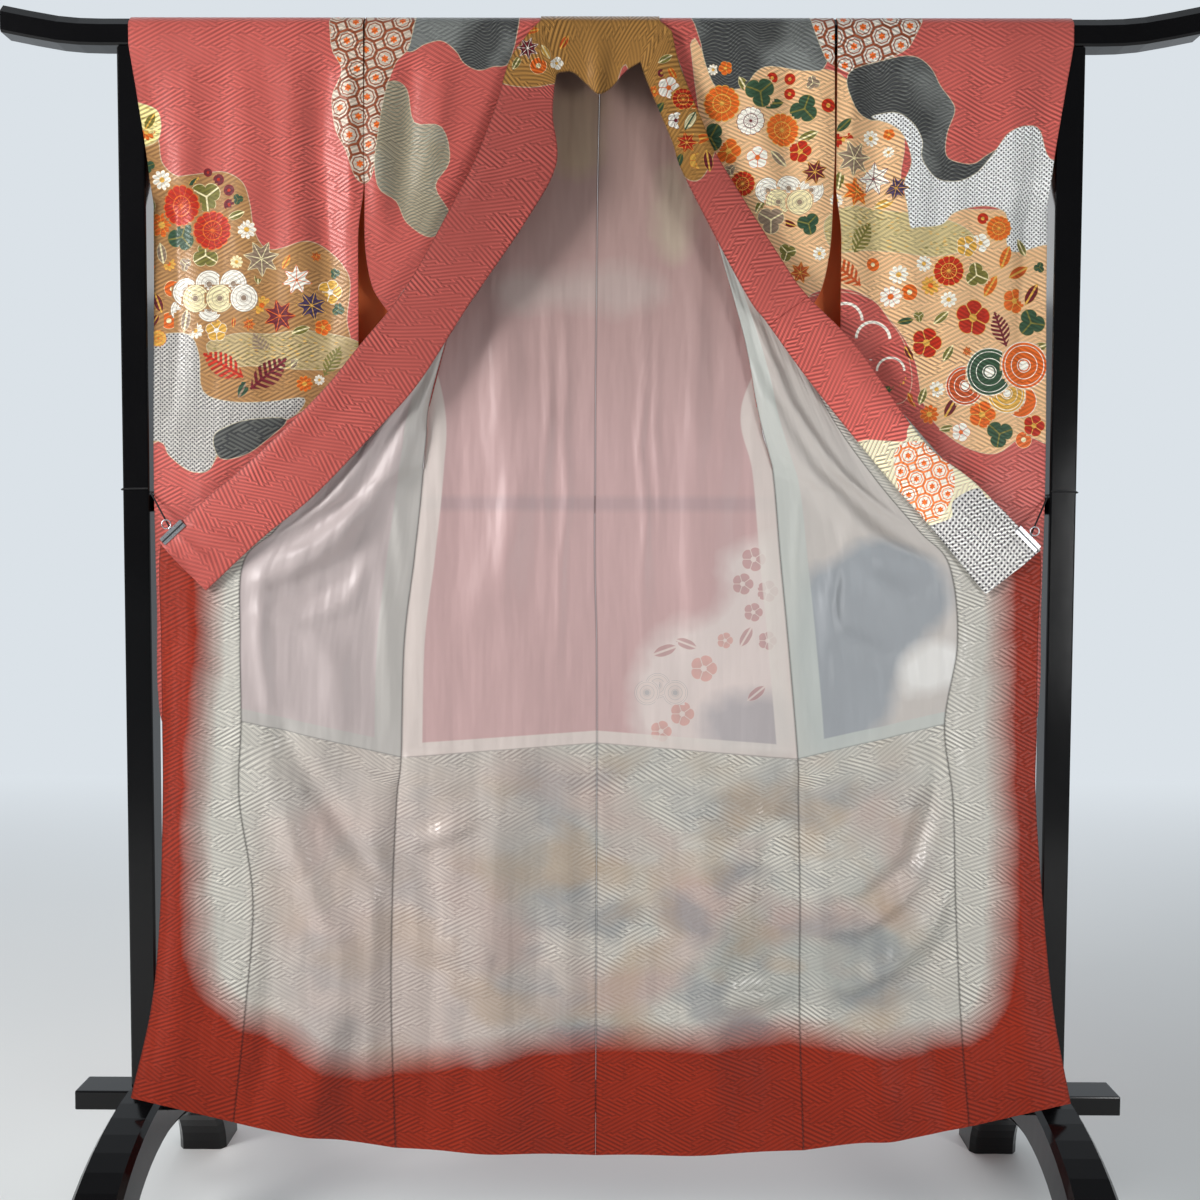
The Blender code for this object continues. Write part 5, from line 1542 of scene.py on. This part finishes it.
# What the print behind the hem lining adds: size and seed of its clouds, and their colour
HEM_CLOUDS = (
    (4.5, 3.0, srgb(150, 156, 152)),
    (5.5, 17.0, srgb(184, 150, 142)),
    (9.0, 31.0, srgb(126, 131, 136)),
    (8.0, 47.0, srgb(180, 152, 122)),
)


def zone_names(key):
    return [layer[0] for layer in PRINT_LAYERS[key]]


# The lining's darkening to the neck is painted shade, with the print behind showing through.
LINING_TOP_SHADE = (1.12, 1.66)  # heights between which the lining darkens to the neck
RAIL_SHADE = srgb(120, 122, 132)
MID_RAIL_LOW, MID_RAIL_HIGH = (1.038, 1.048), (1.058, 1.068)


def lining_show_through_and_shade(edges, width, strip, rail_shade=0.0):
    """What shows through the lining, pale seam allowances and the print behind, and painted shade:
    darker towards the neck, and the middle rail's shade as a band.
    """

    def print_and_painted_light(g, colour):
        _, along = g.cloth()
        _, _, high = g.split(g.place())
        # Painted shade towards the neck, with the print behind showing through
        colour = g.mix(g.step(high, *LINING_TOP_SHADE) * 0.85, colour, NECK_SHADE_AND_PRINT)
        side = g.below(g.attribute("side_distance"), width, width + 0.002)
        low = g.below(along, 0.0185, 0.0200)
        rail = g.step(high, *MID_RAIL_LOW) * g.step(high, *reversed(MID_RAIL_HIGH))
        colour = g.mix(rail * rail_shade, colour, RAIL_SHADE)
        colour = g.mix(g.most(side, low) * strip, colour, edges)
        return g.shade(colour, 0.62 + g.step(along, 0.0006, 0.0022) * 0.38)

    return print_and_painted_light


def ombre_finish(g, colour):
    """Vermilion hem that fades softly into the white of the lower lining. The vermilion is painted
    darker and lighter in soft clouds, part random tone and part fold shade, and carries the fret's
    painted highlight and shade.
    """
    x, y = g.cloth()
    px, _, pz = g.split(g.place())
    body = g.step(pz, 0.8, 0.6) * g.step(abs(px), 0.5, 0.4)
    colour = g.mix(body * (g.step(px, 0.06, -0.2) * 0.45), colour, srgb(196, 168, 162))
    patched = body * (0.26 + g.step(px, -0.3, 0.02) * 0.3)
    for scale, seed, dye in HEM_CLOUDS:
        cloud = g.cloud(px, pz, scale, scale * 1.3, 2.0, 0.45, seed)
        colour = g.mix(g.step(cloud, 0.5, 0.66) * patched, colour, dye)
    blur = (g.cloud(x, y, 14.0, 14.0, 2.0) - 0.5) * 0.022
    distance = g.attribute("hem_white") + blur
    tone = g.step(distance, -0.020, 0.026)
    painted_relief, _ = woven_fret(g, x, y)
    # Vermilion darker and lighter in soft clouds, part random tone and part painted fold shade,
    # and with the fret's painted highlight and shade
    cloud = g.cloud(x, y, 7.0, 9.0, 2.0)
    tint = 0.72 + (cloud * 0.56 + painted_relief * 0.32)
    red = g.shade(VERMILION, tint)
    return g.mix(tone, red, colour)


def left_painted_shade(g, colour):
    """Painted shade: the left side's silk made a little darker than the right side's."""
    return g.shade(colour, 0.93)


def collar_painted_light(g, colour):
    """Painted light and shade on the band's silk: darker towards the neck and on the left, lighter
    low down and on the right.
    """
    px, _, high = g.split(g.place())
    tone = 1.14 - g.step(high, 1.05, 1.5) * 0.44
    return g.shade(colour, tone * (0.84 + g.step(px, -0.25, 0.45) * 0.46))


def lining_silk(name, ground, print_and_painted_light, **more):
    """Thin smooth silk of the body lining."""
    return silk(f"body_{name}", ground, PRINT_LAYERS[name], 0.0, sheen=0.05, seam_shade=0.5,
                rumple=0.9, gloss=0.8, print_and_painted_light=print_and_painted_light, **more)


LOOKS = {
    "left": silk("dyed_silk_left", PINK, PRINT_LAYERS["left"], 0.30, seam_shade=0.18,
                 print_and_painted_light=left_painted_shade),
    "right": silk("dyed_silk_right", PINK, PRINT_LAYERS["right"], 0.30, seam_shade=0.18),
    "collar": silk("dyed_silk_collar", PINK, PRINT_LAYERS["collar"], 0.34,
                   print_and_painted_light=collar_painted_light),
    "sleeve_lining": silk("sleeve_lining", srgb(240, 132, 78), (), 0.0, motifs=False,
                          sheen=0.1),
    "plain": silk("dyed_silk_plain", PINK, (), 0.30, motifs=False),
    "hem": silk("hem_damask", DAMASK_WHITE, (), 0.32, motifs=False, sheen=0.0, roughness=0.36,
                print_and_painted_light=ombre_finish, seam_shade=0.5, rumple=0.9, gloss=0.8),
    "lining_back": lining_silk(
        "lining_back", srgb(200, 167, 165), lining_show_through_and_shade(srgb(220, 212, 204), 0.028, 0.75, 0.22),
        roughness=0.30, soft=0.016, print_strength=0.55,
    ),
    "lining_front_left": lining_silk(
        "lining_front_left", srgb(194, 180, 178), lining_show_through_and_shade(srgb(188, 190, 182), 0.038, 0.55),
        roughness=0.28, motifs=False,
    ),
    "lining_front_right": lining_silk(
        "lining_front_right", srgb(196, 189, 183), lining_show_through_and_shade(srgb(192, 196, 190), 0.038, 0.8),
        roughness=0.28, soft=0.012, motifs=False,
    ),
}
LACQUER = lacquer()
STEEL = {side: steel(side) for side in SIDES}
CORD = cord_look()


# Cloth pieces


def seam_distances(points):
    """Distance across to the nearer long seam, for each point of a panel."""
    flat = cloth_places(points)[..., 0]
    return np.minimum(flat, flat[:, -1:] - flat)


# Over the rail to its middle: depth, height, and the wall's way out and up
RAIL_STEPS = (
    (FOLD_SIDE_DEPTH, FOLD_SIDE_Z, 0.76, 0.65),
    (0.0158, 1.7222, 0.70, 0.71),
    (0.0116, 1.7268, 0.60, 0.80),
    (FOLD_TOP_DEPTH, CLOTH_TOP, 0.35, 0.94),
    (0.0036, CLOTH_TOP, 0.0, 1.0),
    (HALF_SEAM, CLOTH_TOP, 0.0, 1.0),
)


def over_the_rail(points, facing):
    """The cloth with the rows that take it up and over the rail, and the wall's way out."""
    rows = [points]
    ways = [np.broadcast_to(np.array((0.0, facing, 0.0)), points.shape)]
    for depth, z, out, up in RAIL_STEPS:
        row = points[-1:].copy()
        row[..., 1] = facing * depth
        row[..., 2] = z
        rows.append(row)
        ways.append(np.broadcast_to(np.array((0.0, facing * out, up)), row.shape))
    return np.concatenate(rows), np.concatenate(ways)


def panel_stations(lines, side, last):
    """The rows of a panel, and the number of the row where its body lining begins."""
    low = even_stations(lines, side, 0, LINING_EDGE, MEDIUM)
    high = even_stations(lines, side, LINING_EDGE, last, MEDIUM)
    return np.concatenate([low, high[1:]]), len(low) - 1


def plain_shell(node, points, push, **more):
    shell(f"{node}_cloth", points, push, HALF_SEAM, HALF_SEAM + CLOTH, LOOKS["plain"], node,
          "outer_silk", **more)


def lined(panel, side, points, split):
    """The lower and the body lining of a panel."""
    hem_shell(f"hem_lining_{panel}_{side}", points[: split + 1])
    lining_shell(panel, side, points[split:])


def build_back(side):
    lines = (CENTRE_BACK, SIDE_SEAM)
    stations, split = panel_stations(lines, side, CENTRE_BACK[-1][0])
    points = panel_points("back", side, *lines, stations, BACK_COLUMNS, CREASES["back"])
    folded, push = over_the_rail(points, 1)
    keep = np.ones((len(folded) - 1, BACK_COLUMNS - 1), bool)
    keep[len(points) - 1 :, : int(round(NECK_SHARE * (BACK_COLUMNS - 1)))] = False
    plain_shell(f"back_{side}", folded, push, keep=keep)
    lined("back", side, points, split)


def hem_shell(node, points):
    shell(f"{node}_cloth", points, TOWARDS, HALF_SEAM, HALF_SEAM + LINING, LOOKS["hem"], node,
          "hem_lining_damask", zones=("hem_white",))


def lining_shell(panel, side, points):
    node = f"lining_{panel}_{side}"
    key = "lining_back" if panel == "back" else node
    across = cloth_places(points)[..., 0]
    from_side = across[:, -1:] - across if panel == "back" else across
    shell(f"{node}_cloth", points, TOWARDS, HALF_SEAM, HALF_SEAM + LINING, LOOKS[key], node,
          "body_lining_silk", zones=zone_names(key), extra={"side_distance": from_side},
          motifs=spread(LINING_MOTIFS) if panel == "back" else None)


def build_front(side):
    lines = (front_hinge, OKUMI_SEAM)
    stations, split = panel_stations(lines, side, OKUMI_SEAM[-1][0])
    points = panel_points("front", side, *lines, stations, FRONT_COLUMNS, CREASES["front"])
    plain_shell(f"front_{side}", points, AWAY)
    lined("front", side, points, split)


def build_okumi(side):
    lines = (OKUMI_SEAM, FRONT_EDGE)
    stations = even_stations(lines, side, 0, FRONT_EDGE[-1][0], MEDIUM)
    points = panel_points("okumi", side, *lines, stations, OKUMI_COLUMNS, CREASES["okumi"])
    plain_shell(f"okumi_{side}", points, AWAY)
    hem_shell(f"hem_lining_okumi_{side}", points)


# The front of the shoulder is clear of the lining, and lies on the rail higher up
SHOULDER_GAP = LINING + 2 * SEAM
SHOULDER_BLEND = (8.6, 0.8)  # the station where it starts to come to the rail, and how many


def build_front_shoulder(side):
    sign = SIGNS[side]
    stations = even_stations((FRONT_FOLD, SIDE_SEAM), side, 8, 12, FINE)
    seam = read_line(SIDE_SEAM, stations, side)
    start, run = SHOULDER_BLEND
    plain = seam[:, 1] - SHOULDER_GAP
    seam[:, 1] = plain + (FRONT_FOLD[-1][3] - plain) * ease((stations - start) / run)
    fold = read_line(FRONT_FOLD, stations, side)
    fold[:, 0] = sign * np.maximum(np.abs(fold[:, 0]), NECK_HALF + SEAM)
    points = between(fold, seam, np.linspace(0, 1, SHOULDER_COLUMNS))
    points[-1, :, 2] = RAIL_TOP - RAIL_HEIGHT
    points[..., 1] -= crease_height(points, CREASES["shoulder"]) * below_rail(points)
    points, push = over_the_rail(points, -1)
    printed_shell(f"front_shoulder_{side}", side, points, push)


def printed_shell(node, side, points, push, inner=None):
    shell(f"{node}_cloth", points, push, 0, CLOTH, LOOKS[side], node, "outer_silk",
          zones=zone_names(side), motifs=PRINTS[side], inner=inner)


def sleeve_table():
    """The sleeve's rows, with those of its round bottom corner."""
    rows = list(SLEEVE_ROWS)
    z, front, back, outer, inner = rows[-1]
    for angle in (30, 55, 75, 90):
        drop = math.sin(math.radians(angle))
        pull = 1 - math.cos(math.radians(angle))
        rows.append(
            (
                z - SLEEVE_ROUND * drop,
                front + (SLEEVE_BOTTOM_FRONT_Y - front) * drop,
                back + (SLEEVE_BOTTOM_BACK_Y - back) * drop,
                outer - SLEEVE_ROUND * pull,
                inner + (SLEEVE_INNER_X - inner) * drop,
            )
        )
    return np.array(rows)


def smooth_rows(table, z, column):
    return smooth_curve(-table[:, 0], table[:, [column]], -z)[:, 0]


PRINTS = {
    "left": fill_between(LEFT_MOTIFS, "peach_left", 3),
    "right": fill_between(RIGHT_MOTIFS, "peach_right", 5),
}


RAIL_ROWS = 3  # rows of the sleeve's table that lie over the rail
ROUND_ROWS = 4  # rows of its round corner
# Where the sleeve's inner edge moves: height, how far, and over what height
SLEEVE_SEWN = (1.44, -ARMHOLE_LAP, 0.06)
ARMPIT = (1.50, 0.007, 0.08)
CREASE_SHARE = 0.6  # of the room between the sleeve's layers that a crease may fill


def sleeve_edges(table, z, facing):
    """Both layers' y, and one layer's inner and outer x, at each height."""
    front, back, outer, inner = [smooth_rows(table, z, k) for k in (1, 2, 3, 4)]
    if facing < 0:
        height, move, run = SLEEVE_SEWN
        inner = SLEEVE_INNER_X + move * ease((z - height) / run)
        height, move, run = ARMPIT
        inner = inner + move * ease((height - z) / run)
    corner = table[-ROUND_ROWS - 1]
    drop = np.clip((corner[0] - z) / SLEEVE_ROUND, 0, 1)
    rounded_x = corner[3] - SLEEVE_ROUND * (1 - np.sqrt(1 - drop * drop))
    return front, back, inner, np.where(drop > 0, rounded_x, outer)


def build_sleeve(side):
    sign = SIGNS[side]
    table = sleeve_table()[RAIL_ROWS:]
    z = np.concatenate([
        np.arange(table[0, 0], HIDDEN_Z, -FINE),
        np.arange(HIDDEN_Z, SLEEVE_BOTTOM, -COARSE),
        [SLEEVE_BOTTOM],
    ])
    for layer, facing in (("front", -1), ("back", 1)):
        front, back, inner, outer = sleeve_edges(table, z, facing)
        own = front if facing < 0 else back
        middle = (front + back) / 2 + facing * HALF_SEAM
        sewn = ease((CUFF_STOP - z) / CUFF_RUN)
        bottom = ease(1 - (z - SLEEVE_BOTTOM) / BOTTOM_CLOSING)
        across = np.linspace(0, 1, SLEEVE_COLUMNS[layer])
        closing = ease((across - EDGE_CLOSING) / (1 - EDGE_CLOSING))
        shut = np.maximum(closing[None] * sewn[:, None], bottom[:, None])
        x = inner[:, None] + (outer - inner)[:, None] * across[None]
        y = own[:, None] + (middle - own)[:, None] * shut
        points = np.stack([sign * x, y, np.broadcast_to(z[:, None], x.shape)], axis=2)
        if layer == "front":
            room = (back - front)[:, None] * (1 - shut)
            creases = crease_height(points, CREASES["sleeve"]) * below_rail(points)
            points[..., 1] -= np.maximum(creases, -CREASE_SHARE * room)
        points, push = over_the_rail(points[::-1], facing)
        printed_shell(f"sleeve_{side}_{layer}", side, points, push, LOOKS["sleeve_lining"])


def collar_lines(rows, along):
    """Seam and free edge of one side of the collar, at places along its table."""
    table = np.array(rows)
    known = np.arange(len(table), dtype=float)
    return smooth_curve(known, table[:, :3], along), smooth_curve(known, table[:, 3:], along)


# The collar behind and over the rail: y, height, and the wall's way back and up
COLLAR_OVER = (
    (0.0180, 1.6866, 1.0, 0.0),
    (0.0180, 1.7030, 1.0, 0.0),
    (FOLD_SIDE_DEPTH, FOLD_SIDE_Z, 0.76, 0.65),
    (0.0150, 1.7235, 0.70, 0.71),
    (0.0110, 1.7272, 0.55, 0.83),
    (FOLD_TOP_DEPTH, CLOTH_TOP, 0.35, 0.94),
    (0.0, CLOTH_TOP, 0.0, 1.0),
    (-FOLD_TOP_DEPTH, CLOTH_TOP, -0.35, 0.94),
)
COLLAR_SWELL, SWELL_EDGES = 0.0022, 0.8  # how far the band swells, and how soon at its edges
NECK_LEAN = 1 / 3  # of the band's width at the neck, over which its wall turns to the front


def collar_points():
    """The whole collar as one grid: left end, round the neck, right end."""
    over = np.array(COLLAR_OVER)
    count = len(over)
    across = np.linspace(0, 1, COLLAR_COLUMNS)
    grid, push, neck = [], [], []

    def band(rows, first, last):
        seam, free = collar_lines(rows, np.linspace(first, last, COLLAR_ROWS))
        for a, b in zip(seam, free):
            line = a + (b - a) * across[:, None]
            line[:, 1] -= COLLAR_SWELL * np.sin(math.pi * across) ** SWELL_EDGES
            grid.append(np.concatenate([np.repeat(a[None], count, axis=0), line]))
            push.append(np.broadcast_to(TOWARDS, grid[-1].shape))
            neck.append(False)

    band(COLLAR_LEFT, 0, len(COLLAR_LEFT) - 1)
    known = np.array([row[0] for row in COLLAR_NECK])
    free_known = np.array([row[1:] for row in COLLAR_NECK])
    for place in np.linspace(-1, 1, NECK_ROWS):
        free = smooth_curve(known, free_known, [place])[0]
        top_x = NECK_HALF * place
        top = np.column_stack([np.full(count, top_x), over[:, :2]])
        ways = np.column_stack([np.zeros(count), over[:, 2:]])
        turn = np.array((top_x, COLLAR_TURN[0], COLLAR_TURN[1]))
        line = turn + (free - turn) * across[:, None]
        start = np.array((0.0, COLLAR_TURN[2], COLLAR_TURN[3]))
        lean = np.clip(across / NECK_LEAN, 0, 1)[:, None]
        grid.append(np.concatenate([top, line]))
        push.append(np.concatenate([ways, start + (TOWARDS - start) * lean]))
        neck.append(True)
    band(COLLAR_RIGHT, len(COLLAR_RIGHT) - 1, 0)
    neck = np.array(neck)
    keep = np.ones((len(grid) - 1, count + len(across) - 1), bool)
    both = neck[:-1] & neck[1:]
    keep[~both, :count] = False
    return np.array(grid), np.array(push), keep


def over_collar_row(table):
    """The row of the collar's grid where the over-collar ends, from the collar's own end."""
    last = len(table) - 1
    return int(round((last - OVER_COLLAR_ROWS) / last * (COLLAR_ROWS - 1)))


def build_collar():
    points, push, keep = collar_points()
    flat = cloth_places(points)
    points = points.copy()
    points[..., 1] -= crease_height(points, CREASES["collar"])
    printed = {"zones": zone_names("collar"), "motifs": spread(COLLAR_MOTIFS)}
    shell("collar_cloth", points, push, 0, COLLAR_WALL, LOOKS["collar"], "collar",
          "outer_silk", keep=keep, cloth=flat, **printed)
    first = over_collar_row(COLLAR_LEFT)
    last = len(points) - 1 - over_collar_row(COLLAR_RIGHT)
    rows = slice(first, last + 1)
    near = COLLAR_WALL + SEAM
    shell("over_collar_cloth", points[rows], push[rows], near, near + OVER_COLLAR_WALL,
          LOOKS["collar"], "over_collar", "outer_silk", keep=keep[first:last],
          cloth=flat[rows], **printed)


# Stand


def add_wire(verts, faces, path, closed=False):
    """A round steel wire along a path that keeps to one depth."""
    path = np.array(path)
    ways = np.roll(path, -1, axis=0) - np.roll(path, 1, axis=0)
    if not closed:
        ways[0] = path[1] - path[0]
        ways[-1] = path[-1] - path[-2]
    base = len(verts)
    for point, way in zip(path, ways):
        aside = np.cross(way / np.linalg.norm(way), AWAY)
        for k in range(WIRE_SIDES):
            turn = math.tau * k / WIRE_SIDES
            verts.append(point + WIRE * (math.cos(turn) * aside + math.sin(turn) * AWAY))
    rings = len(path)
    for i in range(rings if closed else rings - 1):
        a, b = base + i * WIRE_SIDES, base + (i + 1) % rings * WIRE_SIDES
        for k in range(WIRE_SIDES):
            after = (k + 1) % WIRE_SIDES
            faces.append((a + k, a + after, b + after, b + k))
    if not closed:
        faces.append(tuple(base + k for k in reversed(range(WIRE_SIDES))))
        faces.append(tuple(base + (rings - 1) * WIRE_SIDES + k for k in range(WIRE_SIDES)))


def build_handle(side):
    """The clip's wire ring and the two wires that hold it."""
    middle, along, out = clip_frame(side)
    centre = middle + out * (CLIP_REACH + RING + RING_GAP)
    verts, faces = [], []
    turns = [math.tau * k / RING_TURNS for k in range(RING_TURNS)]
    ring = [centre + RING * (math.cos(a) * along + math.sin(a) * out) for a in turns]
    add_wire(verts, faces, ring, closed=True)
    for shift in (-HOLDER_SHIFT, HOLDER_SHIFT):
        foot = middle + along * shift + out * (CLIP_REACH - HOLDER_START)
        add_wire(verts, faces, [foot, foot + out * HOLDER_LENGTH])
    mesh = bpy.data.meshes.new(f"clip_ring_{side}")
    mesh.from_pydata([tuple(v) for v in verts], [], faces)
    mesh.polygons.foreach_set("use_smooth", [True] * len(mesh.polygons))
    mesh.materials.append(STEEL[side])
    piece = add_object(f"clip_ring_{side}", mesh)
    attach(piece, "root")


LACQUERED = ("top_rail", "mid_rail", "low_rail", "post_left", "post_right", "foot_left",
             "foot_right")


def build_stand():
    for node in LACQUERED:
        paint(node, LACQUER)
    for side in SIDES:
        paint(f"clip_{side}", STEEL[side])
        build_handle(side)
        paint(f"tie_{side}", CORD)


def paint(node, look):
    """Gives a look to one of the part's own solids."""
    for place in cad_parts[node].material_slots:
        place.material = look


# Floor, light and camera


WALL = srgb(219, 226, 232)
FLOOR_REACH = 40.0
FLOOR_TONES = (srgb(216, 217, 216), srgb(226, 227, 225))
FLOOR_FADE = (0.4, 3.4)  # how far back the floor turns into the wall
# Light from round about: from this much forwards to this much back, it grows from low to full
ROUND_LIGHT = (-0.25, 0.55, 0.15, 1.0)


def build_stage():
    mesh = bpy.data.meshes.new("floor")
    r = FLOOR_REACH
    mesh.from_pydata([(-r, -r, 0), (r, -r, 0), (r, r, 0), (-r, r, 0)], [], [(0, 1, 2, 3)])
    floor = add_object("floor", mesh)
    g = Graph("pale_floor")
    place = g.place()
    tone = g.noise(place, 1.3, 3.0)
    _, back, _ = g.split(place)
    pale = g.mix(tone, *FLOOR_TONES)
    far = g.step(back, *FLOOR_FADE)
    g.give("Base Color", g.mix(far, pale, (0.0, 0.0, 0.0)))
    g.give("Emission Color", WALL)
    g.give("Emission Strength", far)
    g.give("Specular IOR Level", (1.0 - far) * 0.4)
    g.give("Roughness", 0.55 + tone * 0.1)
    mesh.materials.append(g.material)


def build_world():
    world = bpy.data.worlds.new("studio")
    bpy.context.scene.world = world
    world.use_nodes = True
    nodes, links = world.node_tree.nodes, world.node_tree.links
    back = nodes["Background"]
    back.inputs[0].default_value = (*WALL, 1)
    place = nodes.new("ShaderNodeTexCoord")
    axes = nodes.new("ShaderNodeSeparateXYZ")
    ramp = nodes.new("ShaderNodeMapRange")
    links.new(place.outputs["Generated"], axes.inputs[0])
    links.new(axes.outputs[1], ramp.inputs[0])
    for k, value in enumerate(ROUND_LIGHT, 1):
        ramp.inputs[k].default_value = value
    links.new(ramp.outputs[0], back.inputs[1])


# Lights: name, place, aim, width and height, power in watts
LIGHTS = (
    ("window_light", (-2.5, -1.5, 1.9), (-0.1, 0, 0.95), (0.8, 1.3), 78),
    ("low_light", (2.0, -2.2, 0.9), (0.2, 0, 0.7), (0.8, 0.8), 26),
    ("back_light", (0.0, 2.4, 2.4), (0, 0, 1.0), (2.4, 1.2), 16),
)


def build_lights():
    for name, place, aim, size, power in LIGHTS:
        light = bpy.data.lights.new(name, "AREA")
        light.shape = "RECTANGLE"
        light.size, light.size_y = size
        light.energy = power
        item = add_object(name, light)
        item.location = place
        way = Vector(aim) - Vector(place)
        item.rotation_euler = way.to_track_quat("-Z", "Y").to_euler()


# Camera: the photograph's, in its pixels; its turn down, sideways and round in degrees
PHOTO_WIDTH = 1200
FOCAL_PIXELS = 1203
SENSOR = 36
CAMERA_PLACE = (0.0115, -1.7266, 0.994)
CAMERA_TURN = (2.6, 0.2, 0.3)


def build_camera():
    camera = bpy.data.cameras.new("view")
    camera.sensor_width = SENSOR
    camera.lens = SENSOR * FOCAL_PIXELS / PHOTO_WIDTH
    item = add_object("view", camera)
    item.location = CAMERA_PLACE
    pitch, roll, yaw = (math.radians(a) for a in CAMERA_TURN)
    item.rotation_euler = (
        Euler((0, 0, yaw)).to_matrix() @ Euler((math.pi / 2 - pitch, 0, 0)).to_matrix()
        @ Euler((0, 0, roll)).to_matrix()
    ).to_euler()
    bpy.context.scene.camera = item


build_stage()
build_world()
build_lights()
build_camera()
bpy.context.scene.view_settings.view_transform = "Standard"
build_stand()
for side in SIDES:
    build_back(side)
    build_front(side)
    build_okumi(side)
    build_front_shoulder(side)
    build_sleeve(side)
build_collar()
